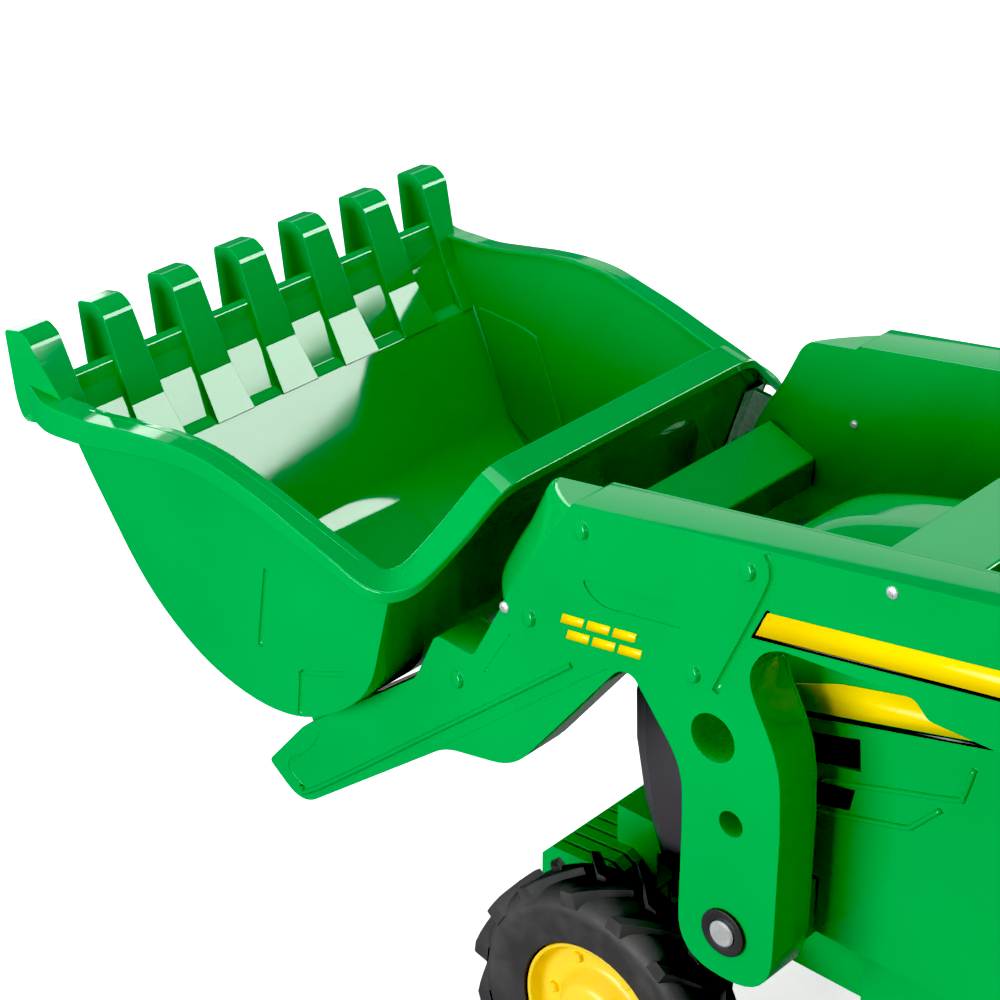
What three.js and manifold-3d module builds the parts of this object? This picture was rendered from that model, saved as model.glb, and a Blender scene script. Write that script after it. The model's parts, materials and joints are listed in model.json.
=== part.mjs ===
// Ride-on toy tractor with a hand-worked front loader, in millimetres.
// The vehicle faces -Y, +Z is up and +X is its left side. The origin is on the ground under the
// middle of the vehicle's length. Rest pose: loader raised to carry, bucket rolled back.
import * as THREE from "three";
import { mergeVertices } from "three/addons/utils/BufferGeometryUtils.js";
import Module from "manifold-3d";

const wasm = await Module();
wasm.setup();

// ---------------------------------------------------------------- driving dimensions
const GAP = 0.3; // clearance kept between touching pieces
const WALL = 4; // moulded wall

const ARM_OUT = 220; // half width over the side frames
const ARM_THICK = 49;
const ARM_IN = ARM_OUT - ARM_THICK;
const ARM_COVER = 3; // inner cover's thickness
const ARM_Y = -150; // front corner of the side frames' top edge
const ARM_Z = 670;
const ARM_PITCH = THREE.MathUtils.degToRad(9.3); // the top edge rises to the rear
const ARM_END = 520; // length of the top edge

const PIVOT = { y: 22, z: 330 }; // loader pivot tube
const PIVOT_TUBE_R = 12;
const PIVOT_BUSH_R = 16;

const HINGE = { y: -502, z: 263 }; // bucket hinge rod
const HINGE_R = 5;

const BUCKET_RIM = 284; // half width over the rim
const BUCKET_WALL = 4.5;
const TEETH = 7;
const TOOTH_PITCH = 87.8;
const TOOTH_WIDTH = 40.8;

const LINK = { y: -292, z: 528 }; // push rod's pin on the bucket
const LEVER = { y: 60, z: 400 }; // tilt lever's pivot: lever, rod and bucket make a parallelogram
const LEVER_X = -236;
const ROD_X = -249;

const HOOD_HALF = 137;
const NOSE_HALF = 98;

const FRONT_AXLE = { y: -130, z: 140, r: 140, inner: 140, outer: 215 };
const REAR_AXLE = { y: 570, z: 190, r: 190, inner: 235, outer: 345 };
const KINGPIN_X = 112;
const AXLE_R = 8;

const STEER_WHEEL = { y: 335, z: 760, r: 140 };
const STEER_TILT = THREE.MathUtils.degToRad(39); // shaft from the vertical

// ---------------------------------------------------------------- finishes
const finish = (color, roughness, metalness = 0) =>
  new THREE.MeshStandardMaterial({ color, roughness, metalness });
const GREEN = finish(0x0b9b48, 0.25);
const YELLOW = finish(0xf5cf1c, 0.35);
const BLACK = finish(0x1d1c1f, 0.55);
const GREY = finish(0x3a373c, 0.5);
const STEEL = finish(0xb4b8bc, 0.3, 0.9);
const RUBBER = finish(0x141414, 0.8);

// ---------------------------------------------------------------- solids
function solid(geometry) {
  const bare = geometry.index ? geometry.toNonIndexed() : geometry.clone();
  bare.deleteAttribute("normal");
  bare.deleteAttribute("uv");
  const merged = mergeVertices(bare, 1e-3);
  const faces = [];
  const index = merged.index.array;
  for (let i = 0; i < index.length; i += 3) {
    const [a, b, c] = [index[i], index[i + 1], index[i + 2]];
    if (a !== b && b !== c && c !== a) faces.push(a, b, c);
  }
  const made = new wasm.Manifold(
    new wasm.Mesh({
      numProp: 3,
      vertProperties: merged.attributes.position.array,
      triVerts: new Uint32Array(faces),
    }),
  );
  return made;
}

function geometryOf(manifold) {
  const mesh = manifold.getMesh();
  const geometry = new THREE.BufferGeometry();
  geometry.setAttribute("position", new THREE.BufferAttribute(mesh.vertProperties, 3));
  geometry.setIndex(new THREE.BufferAttribute(mesh.triVerts, 1));
  return geometry;
}

const join = (...solids) => solids.reduce((all, next) => all.add(next));
const cut = (base, ...tools) => tools.reduce((left, tool) => left.subtract(tool), base);

// A closed outline from corners [a, b, radius]: each corner with a radius is rounded.
function outline(corners) {
  const shape = new THREE.Shape();
  const count = corners.length;
  corners.forEach(([a, b, radius = 0], i) => {
    const before = corners[(i + count - 1) % count];
    const after = corners[(i + 1) % count];
    const corner = new THREE.Vector2(a, b);
    const toBefore = new THREE.Vector2(before[0] - a, before[1] - b);
    const toAfter = new THREE.Vector2(after[0] - a, after[1] - b);
    const cutBefore = Math.min(radius, toBefore.length() * 0.48);
    const cutAfter = Math.min(radius, toAfter.length() * 0.48);
    const start = corner.clone().addScaledVector(toBefore.normalize(), cutBefore);
    const end = corner.clone().addScaledVector(toAfter.normalize(), cutAfter);
    if (i === 0) shape.moveTo(start.x, start.y);
    else shape.lineTo(start.x, start.y);
    if (radius > 0) shape.quadraticCurveTo(a, b, end.x, end.y);
  });
  shape.closePath();
  return shape;
}

const TO_X = new THREE.Matrix4().makeBasis(
  new THREE.Vector3(0, 1, 0),
  new THREE.Vector3(0, 0, 1),
  new THREE.Vector3(1, 0, 0),
);

// A plate whose outline lies in the (y, z) plane, between two values of x.
function sidePlate(corners, x0, x1, curveSegments = 2) {
  const geometry = new THREE.ExtrudeGeometry(outline(corners), {
    depth: x1 - x0,
    bevelEnabled: false,
    curveSegments,
  });
  return solid(geometry.applyMatrix4(TO_X).translate(x0, 0, 0));
}

// A plate whose outline lies in the (x, y) plane, between two heights.
function floorPlate(corners, z0, z1, curveSegments = 3) {
  const geometry = new THREE.ExtrudeGeometry(outline(corners), {
    depth: z1 - z0,
    bevelEnabled: false,
    curveSegments,
  });
  return solid(geometry.translate(0, 0, z0));
}

function box(x0, x1, y0, y1, z0, z1) {
  const geometry = new THREE.BoxGeometry(x1 - x0, y1 - y0, z1 - z0);
  return solid(geometry.translate((x0 + x1) / 2, (y0 + y1) / 2, (z0 + z1) / 2));
}

function rod(from, to, radius, sides = 16, endRadius = radius) {
  const start = new THREE.Vector3(...from);
  const end = new THREE.Vector3(...to);
  const along = end.clone().sub(start);
  const geometry = new THREE.CylinderGeometry(endRadius, radius, along.length(), sides);
  const turn = new THREE.Quaternion().setFromUnitVectors(
    new THREE.Vector3(0, 1, 0),
    along.clone().normalize(),
  );
  geometry.applyQuaternion(turn);
  const middle = start.add(end).multiplyScalar(0.5);
  return solid(geometry.translate(middle.x, middle.y, middle.z));
}

const rodX = (x0, x1, at, radius, sides = 16) =>
  rod([x0, at.y, at.z], [x1, at.y, at.z], radius, sides);

// A ring or disc turned about the X axis from points [radius, x], closed on itself.
function turned(points, at, sides) {
  const closed = [...points, points[0]].map(([r, x]) => new THREE.Vector2(r, x));
  const geometry = new THREE.LatheGeometry(closed, sides);
  geometry.rotateZ(-Math.PI / 2);
  const made = solid(geometry.translate(0, at.y, at.z));
  if (made.volume() > 0) return made;
  const reversed = new THREE.LatheGeometry(closed.reverse(), sides);
  reversed.rotateZ(-Math.PI / 2);
  return solid(reversed.translate(0, at.y, at.z));
}

// A closed skin through sections with the same number of points, capped at both ends.
function loft(sections) {
  const count = sections[0].length;
  const positions = sections.flat(2);
  const index = [];
  for (let s = 0; s + 1 < sections.length; s += 1) {
    for (let i = 0; i < count; i += 1) {
      const a = s * count + i;
      const b = s * count + ((i + 1) % count);
      index.push(a, b, b + count, a, b + count, a + count);
    }
  }
  const flat = (points) => {
    const origin = new THREE.Vector3(...points[0]);
    const normal = new THREE.Vector3();
    for (let i = 1; i + 1 < points.length; i += 1) {
      const u = new THREE.Vector3(...points[i]).sub(origin);
      const v = new THREE.Vector3(...points[i + 1]).sub(origin);
      normal.add(u.cross(v));
    }
    const drop = ["x", "y", "z"].reduce((best, axis) =>
      Math.abs(normal[axis]) > Math.abs(normal[best]) ? axis : best,
    );
    const keep = [0, 1, 2].filter((i) => "xyz"[i] !== drop);
    return points.map((p) => new THREE.Vector2(p[keep[0]], p[keep[1]]));
  };
  const cap = (start, points, outward) => {
    THREE.ShapeUtils.triangulateShape(flat(points), []).forEach(([a, b, c]) => {
      const [p, q, r] = [a, b, c].map((i) => new THREE.Vector3(...points[i]));
      const normal = q.clone().sub(p).cross(r.clone().sub(p));
      const turn = normal.dot(outward) > 0 ? [a, b, c] : [a, c, b];
      index.push(...turn.map((i) => start + i));
    });
  };
  const centre = (points) =>
    points
      .reduce((sum, p) => sum.add(new THREE.Vector3(...p)), new THREE.Vector3())
      .divideScalar(points.length);
  const last = sections.length - 1;
  const forward = centre(sections[last]).sub(centre(sections[0]));
  cap(0, sections[0], forward.clone().negate());
  cap(last * count, sections[last], forward);
  const build = (faces) => {
    const geometry = new THREE.BufferGeometry();
    geometry.setAttribute("position", new THREE.Float32BufferAttribute(positions, 3));
    geometry.setIndex(faces);
    return geometry;
  };
  const sideFaces = (sections.length - 1) * count * 6;
  const flipped = [];
  for (let i = 0; i < index.length; i += 3) {
    const turn = i < sideFaces ? [0, 2, 1] : [0, 1, 2];
    flipped.push(...turn.map((t) => index[i + t]));
  }
  try {
    const made = solid(build(index));
    if (made.volume() > 0) return made;
  } catch {
    return solid(build(flipped));
  }
  return solid(build(flipped));
}

// A point on the steering shaft's axis, at a distance above the wheel's centre.
function shaftPoint(distance) {
  return [
    STEER_WHEEL.y + distance * Math.sin(STEER_TILT),
    STEER_WHEEL.z + distance * Math.cos(STEER_TILT),
  ];
}

const root = new THREE.Group();

function place(name, manifold, material) {
  const mesh = new THREE.Mesh(geometryOf(manifold), material);
  mesh.name = name;
  root.add(mesh);
}

const mirrored = (manifold) => manifold.mirror([1, 0, 0]);

function placePair(name, manifold, material) {
  place(name.replace("SIDE", "left"), manifold, material);
  place(name.replace("SIDE", "right"), mirrored(manifold), material);
}

// ---------------------------------------------------------------- side frames
// Side frame coordinates: u runs rearward along the top edge, v is square to it and up.
function armPoint(u, v) {
  const y = ARM_Y + u * Math.cos(ARM_PITCH) - v * Math.sin(ARM_PITCH);
  const z = ARM_Z + u * Math.sin(ARM_PITCH) + v * Math.cos(ARM_PITCH);
  return [y, z];
}

const armCorner = ([u, v, radius = 0]) => [...armPoint(u, v), radius];

const FRONT_SEAM = [
  [0, 0, 3],
  [-76, -86, 30],
];
const LOWER_ARM_TOP = [
  [-140, -172, 8],
  [-183, -161, 9],
  [-217, -212, 6],
  [-384, -306, 5],
];
const LOWER_ARM_TIP = [
  [-443, -358, 6],
  [-405, -397, 26],
];
const UNDERSIDE = [
  [-192, -276, 16],
  [-108, -272, 26],
  [28, -143, 10],
  [44, -143, 8],
  [87, -216, 26],
];
const POST_REAR = [
  [189, -189, 26],
  [163, -116, 22],
  [180, -90, 14],
];
const REAR_ARM = [
  [200, -83, 8],
  [322, -93, 5],
  [333, -108, 5],
  [394, -118, 5],
  [ARM_END - 40, -128, 20],
  [ARM_END, -70, 26],
  [ARM_END, 0, 14],
];

function armOutline() {
  const post = [
    [PIVOT.y - 49, 420, 10],
    [PIVOT.y - 49, PIVOT.z - 48, 46],
    [PIVOT.y + 49, PIVOT.z - 48, 46],
    [PIVOT.y + 49, 450, 10],
  ];
  return [
    ...[...FRONT_SEAM, ...LOWER_ARM_TOP, ...LOWER_ARM_TIP, ...UNDERSIDE].map(armCorner),
    ...post,
    ...[...POST_REAR, ...REAR_ARM].map(armCorner),
  ];
}

// The nose: the panel's front edge sweeps inward and forward to the inner face.
function armNose() {
  const stations = [
    { seam: [0, -4], inner: [-63, -4] },
    { seam: [-25, -34], inner: [-90, -47] },
    { seam: [-52, -64], inner: [-113, -76] },
    { seam: [-88, -104], inner: [-132, -109] },
    { seam: [-98, -118], inner: [-106, -122] },
  ];
  const sections = stations.map(({ seam, inner }) => {
    const at = (t, x) => {
      const [y, z] = armPoint(
        THREE.MathUtils.lerp(seam[0], inner[0], t),
        THREE.MathUtils.lerp(seam[1], inner[1], t),
      );
      return [x, y, z];
    };
    return [
      at(-0.15, ARM_IN + ARM_COVER + GAP),
      at(1, ARM_IN + ARM_COVER + GAP),
      at(0.86, ARM_IN + 16),
      at(0.5, ARM_IN + 34),
      at(0.04, ARM_OUT - 1.5),
      at(-0.15, ARM_OUT - 1.5),
    ];
  });
  return loft(sections);
}

// Panel recesses that leave the wall and the ribs of the frame standing.
function armPockets() {
  const deep = ARM_IN + ARM_COVER;
  const floor = ARM_OUT - WALL - 1;
  const rooms = [
    [
      [8, -14, 4],
      [-60, -92, 6],
      [-96, -146, 6],
      [-96, -246, 12],
      [20, -134, 8],
      [40, -126, 8],
      [150, -100, 8],
      [150, -14, 6],
    ],
    [
      [-112, -176, 6],
      [-112, -256, 10],
      [-190, -262, 10],
      [-330, -336, 8],
      [-330, -286, 6],
      [-226, -226, 8],
      [-184, -180, 8],
    ],
    [
      [162, -14, 6],
      [162, -78, 6],
      [318, -84, 6],
      [318, -14, 6],
    ],
    [
      [330, -14, 6],
      [330, -96, 6],
      [ARM_END - 48, -116, 8],
      [ARM_END - 12, -66, 8],
      [ARM_END - 12, -14, 8],
    ],
  ];
  const pockets = rooms.map((room) => sidePlate(room.map(armCorner), deep, floor, 2));
  const post = sidePlate(
    [
      [PIVOT.y - 38, PIVOT.z + 34, 4],
      [PIVOT.y + 38, PIVOT.z + 34, 4],
      [PIVOT.y + 38, 430, 4],
      [PIVOT.y - 38, 430, 4],
    ],
    deep,
    floor,
    2,
  );
  return [...pockets, post];
}

const OVAL_HOLES = [
  { u: 123, v: -180, r: 22 },
  { u: 133, v: -256, r: 12 },
];

function armShell() {
  const inner = ARM_IN + ARM_COVER + GAP;
  const body = join(sidePlate(armOutline(), inner, ARM_OUT), armNose());
  const holes = OVAL_HOLES.map(({ u, v, r }) => {
    const [y, z] = armPoint(u, v);
    return rodX(ARM_OUT - 26, ARM_OUT + 1, { y, z }, r, 20);
  });
  return cut(
    body,
    ...armPockets(),
    ...holes,
    rodX(ARM_IN, ARM_OUT + 1, PIVOT, PIVOT_BUSH_R + GAP, 24),
    rodX(ARM_IN, ARM_OUT - 6, HINGE, HINGE_R + GAP, 12),
  );
}

function armCover() {
  const plate = sidePlate(armOutline(), ARM_IN, ARM_IN + ARM_COVER);
  return cut(
    plate,
    rodX(ARM_IN - 1, ARM_OUT, PIVOT, PIVOT_BUSH_R + GAP, 24),
    rodX(ARM_IN - 1, ARM_OUT, HINGE, HINGE_R + GAP, 12),
  );
}

placePair("arm_SIDE_shell", armShell(), GREEN);
placePair("arm_SIDE_cover", armCover(), GREEN);

// ---------------------------------------------------------------- cross members
const CROSS_HALF = ARM_IN - GAP;

function frontCrossPanel() {
  const profile = [
    armCorner([-109, -89, 2]),
    armCorner([-58, -119, 3]),
    armCorner([-66, -150, 2]),
    armCorner([-70, -149, 1]),
    armCorner([-63, -122, 2]),
    armCorner([-109, -95, 2]),
  ];
  return sidePlate(profile, -CROSS_HALF, CROSS_HALF);
}

function rearCrossPlate() {
  const profile = [
    armCorner([269, -3, 2]),
    armCorner([355, -3, 3]),
    armCorner([355, -23, 1]),
    armCorner([351, -23, 1]),
    armCorner([351, -7, 2]),
    armCorner([273, -7, 2]),
    armCorner([273, -22, 1]),
    armCorner([269, -22, 1]),
  ];
  return sidePlate(profile, -CROSS_HALF, CROSS_HALF);
}

place("front_cross_panel", frontCrossPanel(), GREEN);
place("rear_cross_plate", rearCrossPlate(), GREEN);

const HANDLE_RISE = 3.2; // the level base clears the sloping top edge

function liftHandle() {
  const x = ARM_OUT - ARM_THICK / 2;
  const [y, z] = armPoint(ARM_END - 40, HANDLE_RISE);
  return join(
    rod([x, y, z], [x, y, z + 6], 17, 16),
    rod([x, y, z + 4], [x, y - 14, z + 112], 9, 12),
  );
}

function liftGrip() {
  const x = ARM_OUT - ARM_THICK / 2;
  const [y, z] = armPoint(ARM_END - 40, HANDLE_RISE);
  const along = new THREE.Vector3(0, -14, 108).normalize();
  const base = new THREE.Vector3(x, y, z + 4);
  const at = (d) => base.clone().addScaledVector(along, d).toArray();
  return cut(rod(at(22), at(122), 14.5, 14), rod(at(10), at(112), 9 + GAP, 12));
}

placePair("lift_handle_SIDE", liftHandle(), STEEL);
placePair("lift_grip_SIDE", liftGrip(), BLACK);

// ---------------------------------------------------------------- loader pivot
place("loader_pivot_tube", rodX(-ARM_OUT - 6, ARM_OUT + 6, PIVOT, PIVOT_TUBE_R, 20), STEEL);

function pivotBush() {
  const ring = join(
    rodX(ARM_IN + 2, ARM_OUT + 2, PIVOT, PIVOT_BUSH_R, 24),
    rodX(ARM_OUT + GAP, ARM_OUT + 4, PIVOT, 22, 24),
  );
  return cut(ring, rodX(ARM_IN, ARM_OUT + 5, PIVOT, PIVOT_TUBE_R + GAP, 20));
}

placePair("pivot_bush_SIDE", pivotBush(), BLACK);

// ---------------------------------------------------------------- bucket
// Half width of the bucket's side walls at a height.
const bucketHalf = (z) => 244 + ((z - 328) / 272) * 24;

const BUCKET_PROFILE = [
  [-752, 586, 2],
  [-716, 510, 16],
  [-668, 418, 30],
  [-634, 380, 26],
  [-588, 348, 26],
  [-540, 333, 22],
  [-494, 330, 22],
  [-450, 340, 20],
  [-408, 365, 20],
  [-374, 394, 14],
  [-352, 425, 20],
  [-315, 543.5, 0],
  [-287.5, 628, 0],
  [-293, 630, 0],
];
const RIM = [
  [-322, 546],
  [-365, 560],
  [-403, 571],
  [-447, 584],
  [-486, 593],
  [-522, 600],
  [-557, 601],
  [-599, 597],
  [-640, 590],
  [-685, 582],
  [-744, 577],
];

// Spreads an extruded profile so that its sides lean out with the height.
function leaning(corners, inset, curveSegments) {
  const geometry = new THREE.ExtrudeGeometry(outline(corners), {
    depth: 2,
    bevelEnabled: false,
    curveSegments,
  });
  geometry.applyMatrix4(TO_X).translate(-1, 0, 0);
  const position = geometry.attributes.position;
  for (let i = 0; i < position.count; i += 1) {
    const half = bucketHalf(position.getZ(i)) - inset;
    position.setX(i, Math.sign(position.getX(i)) * half);
  }
  return solid(geometry);
}

function bucketTub() {
  const outer = leaning([...BUCKET_PROFILE, ...RIM.map((p) => [...p, 0])], 0, 2);
  const middle = { y: -530, z: 560 };
  const inset = BUCKET_PROFILE.map(([y, z, radius]) => {
    const away = new THREE.Vector2(y - middle.y, z - middle.z);
    const near = 1 - (BUCKET_WALL * 1.15) / away.length();
    return [middle.y + away.x * near, middle.z + away.y * near, radius];
  });
  inset[0] = [-790, 680, 0];
  inset[1] = [-709, 508, 14];
  inset[11] = [-320, 545, 0];
  inset[12] = [-292.5, 629, 0];
  inset[13] = [-292.5, 720, 0];
  const room = leaning([...inset, [-790, 720, 0]], BUCKET_WALL, 2);
  return { outer, room };
}

function ribbon(stations, across, thickness) {
  return loft(
    stations.map(([x, y, z], i) => {
      const [dx, dy, dz] = across(i);
      return [
        [x, y, z],
        [x + dx, y + dy, z + dz],
        [x + dx, y + dy, z + dz - thickness],
        [x, y, z - thickness],
      ];
    }),
  );
}

function bucketRim() {
  const side = ribbon(
    RIM.map(([y, z]) => [bucketHalf(z) - BUCKET_WALL, y, z]),
    (i) => [BUCKET_RIM - bucketHalf(RIM[i][1]) + BUCKET_WALL, 0, -2],
    8,
  );
  const back = ribbon(
    [
      [-BUCKET_RIM, -317, 541.5],
      [-163, -290, 629],
      [163, -290, 629],
      [BUCKET_RIM, -317, 541.5],
    ],
    () => [0, 32, -8],
    7,
  );
  return [side, mirrored(side), back];
}

const toothCentre = (i) => TOOTH_PITCH * ((TEETH - 1) / 2 - i);

function bucketTeeth() {
  const profile = [
    [-803, 637, 4],
    [-779, 641, 6],
    [-769, 628, 6],
    [-702, 506, 3],
    [-716, 508, 0],
    [-731, 538, 6],
    [-750, 543, 6],
    [-783, 552, 6],
    [-790, 572, 8],
  ];
  return Array.from({ length: TEETH }, (_, i) => {
    const x = toothCentre(i);
    return sidePlate(profile, x - TOOTH_WIDTH / 2, x + TOOTH_WIDTH / 2, 1);
  });
}

function bucketLip() {
  return sidePlate(
    [
      [-757, 594, 3],
      [-748, 588, 2],
      [-710, 512, 0],
      [-722, 512, 0],
      [-738, 545, 8],
      [-752, 556, 6],
    ],
    -BUCKET_RIM,
    BUCKET_RIM,
    2,
  );
}

function bucketShell() {
  const { outer, room } = bucketTub();
  const shoulder = (side) => {
    const edge = [
      [163 * side, 629, 0],
      [330 * side, 508.5, 0],
      [330 * side, 700, 0],
      [163 * side, 700, 0],
    ];
    const geometry = new THREE.ExtrudeGeometry(outline(side > 0 ? edge : edge.reverse()), {
      depth: 60,
      bevelEnabled: false,
    });
    return solid(geometry.rotateX(Math.PI / 2).translate(0, -275, 0));
  };
  const tub = cut(outer, room, shoulder(1), shoulder(-1));
  const lugs = [-1, 1].map((side) =>
    sidePlate(
      [
        [HINGE.y - 20, HINGE.z - 16, 14],
        [HINGE.y + 20, HINGE.z - 16, 14],
        [HINGE.y + 60, 352, 4],
        [HINGE.y - 60, 352, 4],
      ],
      side * 158 - 5,
      side * 158 + 5,
    ),
  );
  const whole = join(tub, ...bucketRim(), bucketLip(), ...bucketTeeth(), ...lugs);
  return cut(whole, rodX(-200, 200, HINGE, HINGE_R + GAP, 12), insideOf(room));
}

// The lugs' upper ends must not stand inside the bucket.
const insideOf = (room) => room.intersect(box(-200, 200, -600, -400, 300, 420));

place("bucket_shell", bucketShell(), GREEN);
place("bucket_hinge_rod", rodX(-ARM_OUT + 8, ARM_OUT - 8, HINGE, HINGE_R, 12), STEEL);

// A point behind the bucket's back wall, at a height and a distance off the wall.
const behindBucket = (z, off) => [-352 + ((z - 425) * 37) / 118.5 + off, z];

function bucketTiltBracket() {
  const plate = sidePlate(
    [
      [...behindBucket(550, 3), 0],
      [LINK.y + 8, 548, 8],
      [LINK.y + 16, LINK.z - 8, 10],
      [LINK.y - 18, 466, 8],
      [...behindBucket(456, 3), 0],
    ],
    LEVER_X - 3,
    LEVER_X + 3,
  );
  const foot = sidePlate(
    [behindBucket(448, 0.8), behindBucket(448, 5), behindBucket(552, 5), behindBucket(552, 0.8)],
    LEVER_X - 13,
    LEVER_X + 13,
  );
  return cut(join(plate, foot), rodX(LEVER_X - 5, LEVER_X + 5, LINK, 4 + GAP, 12));
}

place("bucket_tilt_bracket", bucketTiltBracket(), STEEL);

// ---------------------------------------------------------------- bucket tilt lever and rod
const reach = new THREE.Vector2(LINK.y - HINGE.y, LINK.z - HINGE.z);
const LEVER_PIN = { y: LEVER.y + reach.x, z: LEVER.z + reach.y };

function tiltRod() {
  const bent = rod([ROD_X, LINK.y, LINK.z], [ROD_X, LEVER_PIN.y, LEVER_PIN.z], 5, 12);
  const pins = [LINK, LEVER_PIN].map((at) => rodX(ROD_X - 5, LEVER_X + 9, at, 4, 12));
  return join(bent, ...pins);
}

const leverAt = (s, side = 0) => {
  const along = reach.clone().normalize();
  return [LEVER.y + along.x * s - along.y * side, LEVER.z + along.y * s + along.x * side];
};
const LEVER_LENGTH = reach.length() + 60;

function tiltLever() {
  const plate = sidePlate(
    [
      [...leverAt(-22, 20), 16],
      [...leverAt(LEVER_LENGTH, 11), 3],
      [...leverAt(LEVER_LENGTH, -11), 3],
      [...leverAt(-22, -20), 16],
    ],
    LEVER_X - 4,
    LEVER_X + 4,
  );
  const spike = rod(
    [LEVER_X, ...leverAt(LEVER_LENGTH - 6)],
    [LEVER_X, ...leverAt(LEVER_LENGTH + 70)],
    6,
    12,
  );
  return cut(
    join(plate, spike),
    rodX(LEVER_X - 8, LEVER_X + 8, LEVER, 7 + GAP, 16),
    rodX(LEVER_X - 8, LEVER_X + 12, LEVER_PIN, 4 + GAP, 12),
  );
}

function tiltLeverGrip() {
  const body = rod(
    [LEVER_X, ...leverAt(LEVER_LENGTH + 1)],
    [LEVER_X, ...leverAt(LEVER_LENGTH + 86)],
    13,
    14,
    15,
  );
  const bore = rod(
    [LEVER_X, ...leverAt(LEVER_LENGTH - 8)],
    [LEVER_X, ...leverAt(LEVER_LENGTH + 72)],
    6 + GAP,
    12,
  );
  return cut(body, bore);
}

function tiltLeverBracket() {
  return join(
    rodX(-ARM_OUT - 4, -ARM_OUT - GAP, LEVER, 24, 20),
    rodX(LEVER_X - 10, -ARM_OUT - 2, LEVER, 7, 16),
    rodX(LEVER_X + 4.4, -ARM_OUT - 2, LEVER, 13, 16),
  );
}

place("tilt_push_rod", tiltRod(), STEEL);
place("tilt_lever", tiltLever(), BLACK);
place("tilt_lever_grip", tiltLeverGrip(), YELLOW);
place("tilt_lever_bracket", tiltLeverBracket(), BLACK);

// ---------------------------------------------------------------- hood and nose
// Hood sections: at a station y, the half width at the sill and the crown heights.
const HOOD = [
  { y: -88, side: 512, crease: 552, top: 577 },
  { y: -60, side: 520, crease: 576, top: 608 },
  { y: -20, side: 532, crease: 592, top: 630 },
  { y: 60, side: 556, crease: 616, top: 652 },
  { y: 150, side: 586, crease: 640, top: 668 },
  { y: 264, side: 600, crease: 654, top: 680 },
];
const HOOD_SILL = 300;

function hoodSection({ y, side, crease, top }, inset, sill) {
  const half = HOOD_HALF - inset;
  const right = [
    [half, y, sill],
    [half, y, side - inset],
    [88, y, crease - inset],
    [40, y, top - 5 - inset],
  ];
  const left = right.map(([x, py, z]) => [-x, py, z]).reverse();
  return [...right, [0, y, top - inset], ...left];
}

function hoodShell() {
  const outer = loft(HOOD.map((station) => hoodSection(station, 0, HOOD_SILL)));
  const ends = HOOD.map((station, i) => ({
    ...station,
    y: station.y + (i === 0 ? WALL : i === HOOD.length - 1 ? 10 : 0),
  }));
  const room = loft(ends.map((station) => hoodSection(station, WALL, HOOD_SILL - 20)));
  const vents = [
    [[18, 487], [85, 508], [88, 478], [34, 464]],
    [[40, 448], [84, 458], [80, 436], [42, 426]],
  ].map((corners) => [
    sidePlate(corners.map((p) => [...p, 1]), HOOD_HALF - 8, HOOD_HALF + 2),
    sidePlate(corners.map((p) => [...p, 1]), -HOOD_HALF - 2, -HOOD_HALF + 8),
  ]);
  const shaftWay = rod([0, ...shaftPoint(-60)], [0, ...shaftPoint(-200)], 11, 14);
  const beamGap = box(-HOOD_HALF - 5, HOOD_HALF + 5, PIVOT.y - 33, PIVOT.y + 33, 250, 355);
  return cut(outer, room, shaftWay, beamGap, ...vents.flat());
}

function hoodVent() {
  const x0 = HOOD_HALF - WALL - 3 - GAP;
  const plate = sidePlate(
    [
      [12, 520, 4],
      [96, 520, 4],
      [96, 420, 4],
      [30, 412, 4],
    ],
    x0,
    x0 + 3,
  );
  return plate;
}

place("hood_shell", hoodShell(), GREEN);
placePair("hood_vent_SIDE", hoodVent(), BLACK);

const NOSE = [
  [-175, 246],
  [-196, 300],
  [-208, 360],
  [-210, 410],
  [-200, 462],
  [-168, 520],
  [-128, 556],
  [-88 - GAP, 574],
  [-88 - GAP, 246],
];

function noseGrille() {
  const stations = [
    { x: -NOSE_HALF, back: 44, drop: 20 },
    { x: -84, back: 22, drop: 9 },
    { x: -50, back: 7, drop: 3 },
    { x: 0, back: 0, drop: 0 },
    { x: 50, back: 7, drop: 3 },
    { x: 84, back: 22, drop: 9 },
    { x: NOSE_HALF, back: 44, drop: 20 },
  ];
  const body = loft(
    stations.map(({ x, back, drop }) =>
      NOSE.map(([y, z], i) => {
        const onFront = i < 7;
        return [x, onFront ? Math.min(y + back, -90 - i) : y, z > 500 ? z - drop : z];
      }),
    ),
  );
  const slots = Array.from({ length: 9 }, (_, i) => {
    const x = (i - 4) * 15;
    return box(x - 4, x + 4, -240, -190, 300, 440);
  });
  const beamNotch = box(-71, 71, -151, -80, 240, 297);
  const room = box(-78, 78, -150, -80, 302, 500);
  return cut(body, ...slots, beamNotch, room);
}

place("nose_grille", noseGrille(), GREY);

// ---------------------------------------------------------------- chassis
function fender() {
  const r = REAR_AXLE.r;
  const arc = (radius, from, to, steps) =>
    Array.from({ length: steps + 1 }, (_, i) => {
      const angle = THREE.MathUtils.degToRad(from + ((to - from) * i) / steps);
      return [REAR_AXLE.y + radius * Math.cos(angle), REAR_AXLE.z + radius * Math.sin(angle), 0];
    });
  const crown = arc(r + 24, 12, 150, 14);
  const skin = [...crown, ...arc(r + 18, 150, 12, 14)];
  const web = [...crown, [REAR_AXLE.y - 150, 300, 0], [REAR_AXLE.y + 150, 300, 0]];
  return join(sidePlate(skin, 214, 352), sidePlate(web, 214, 220));
}

const BEAM_FRONT = -150;

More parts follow.
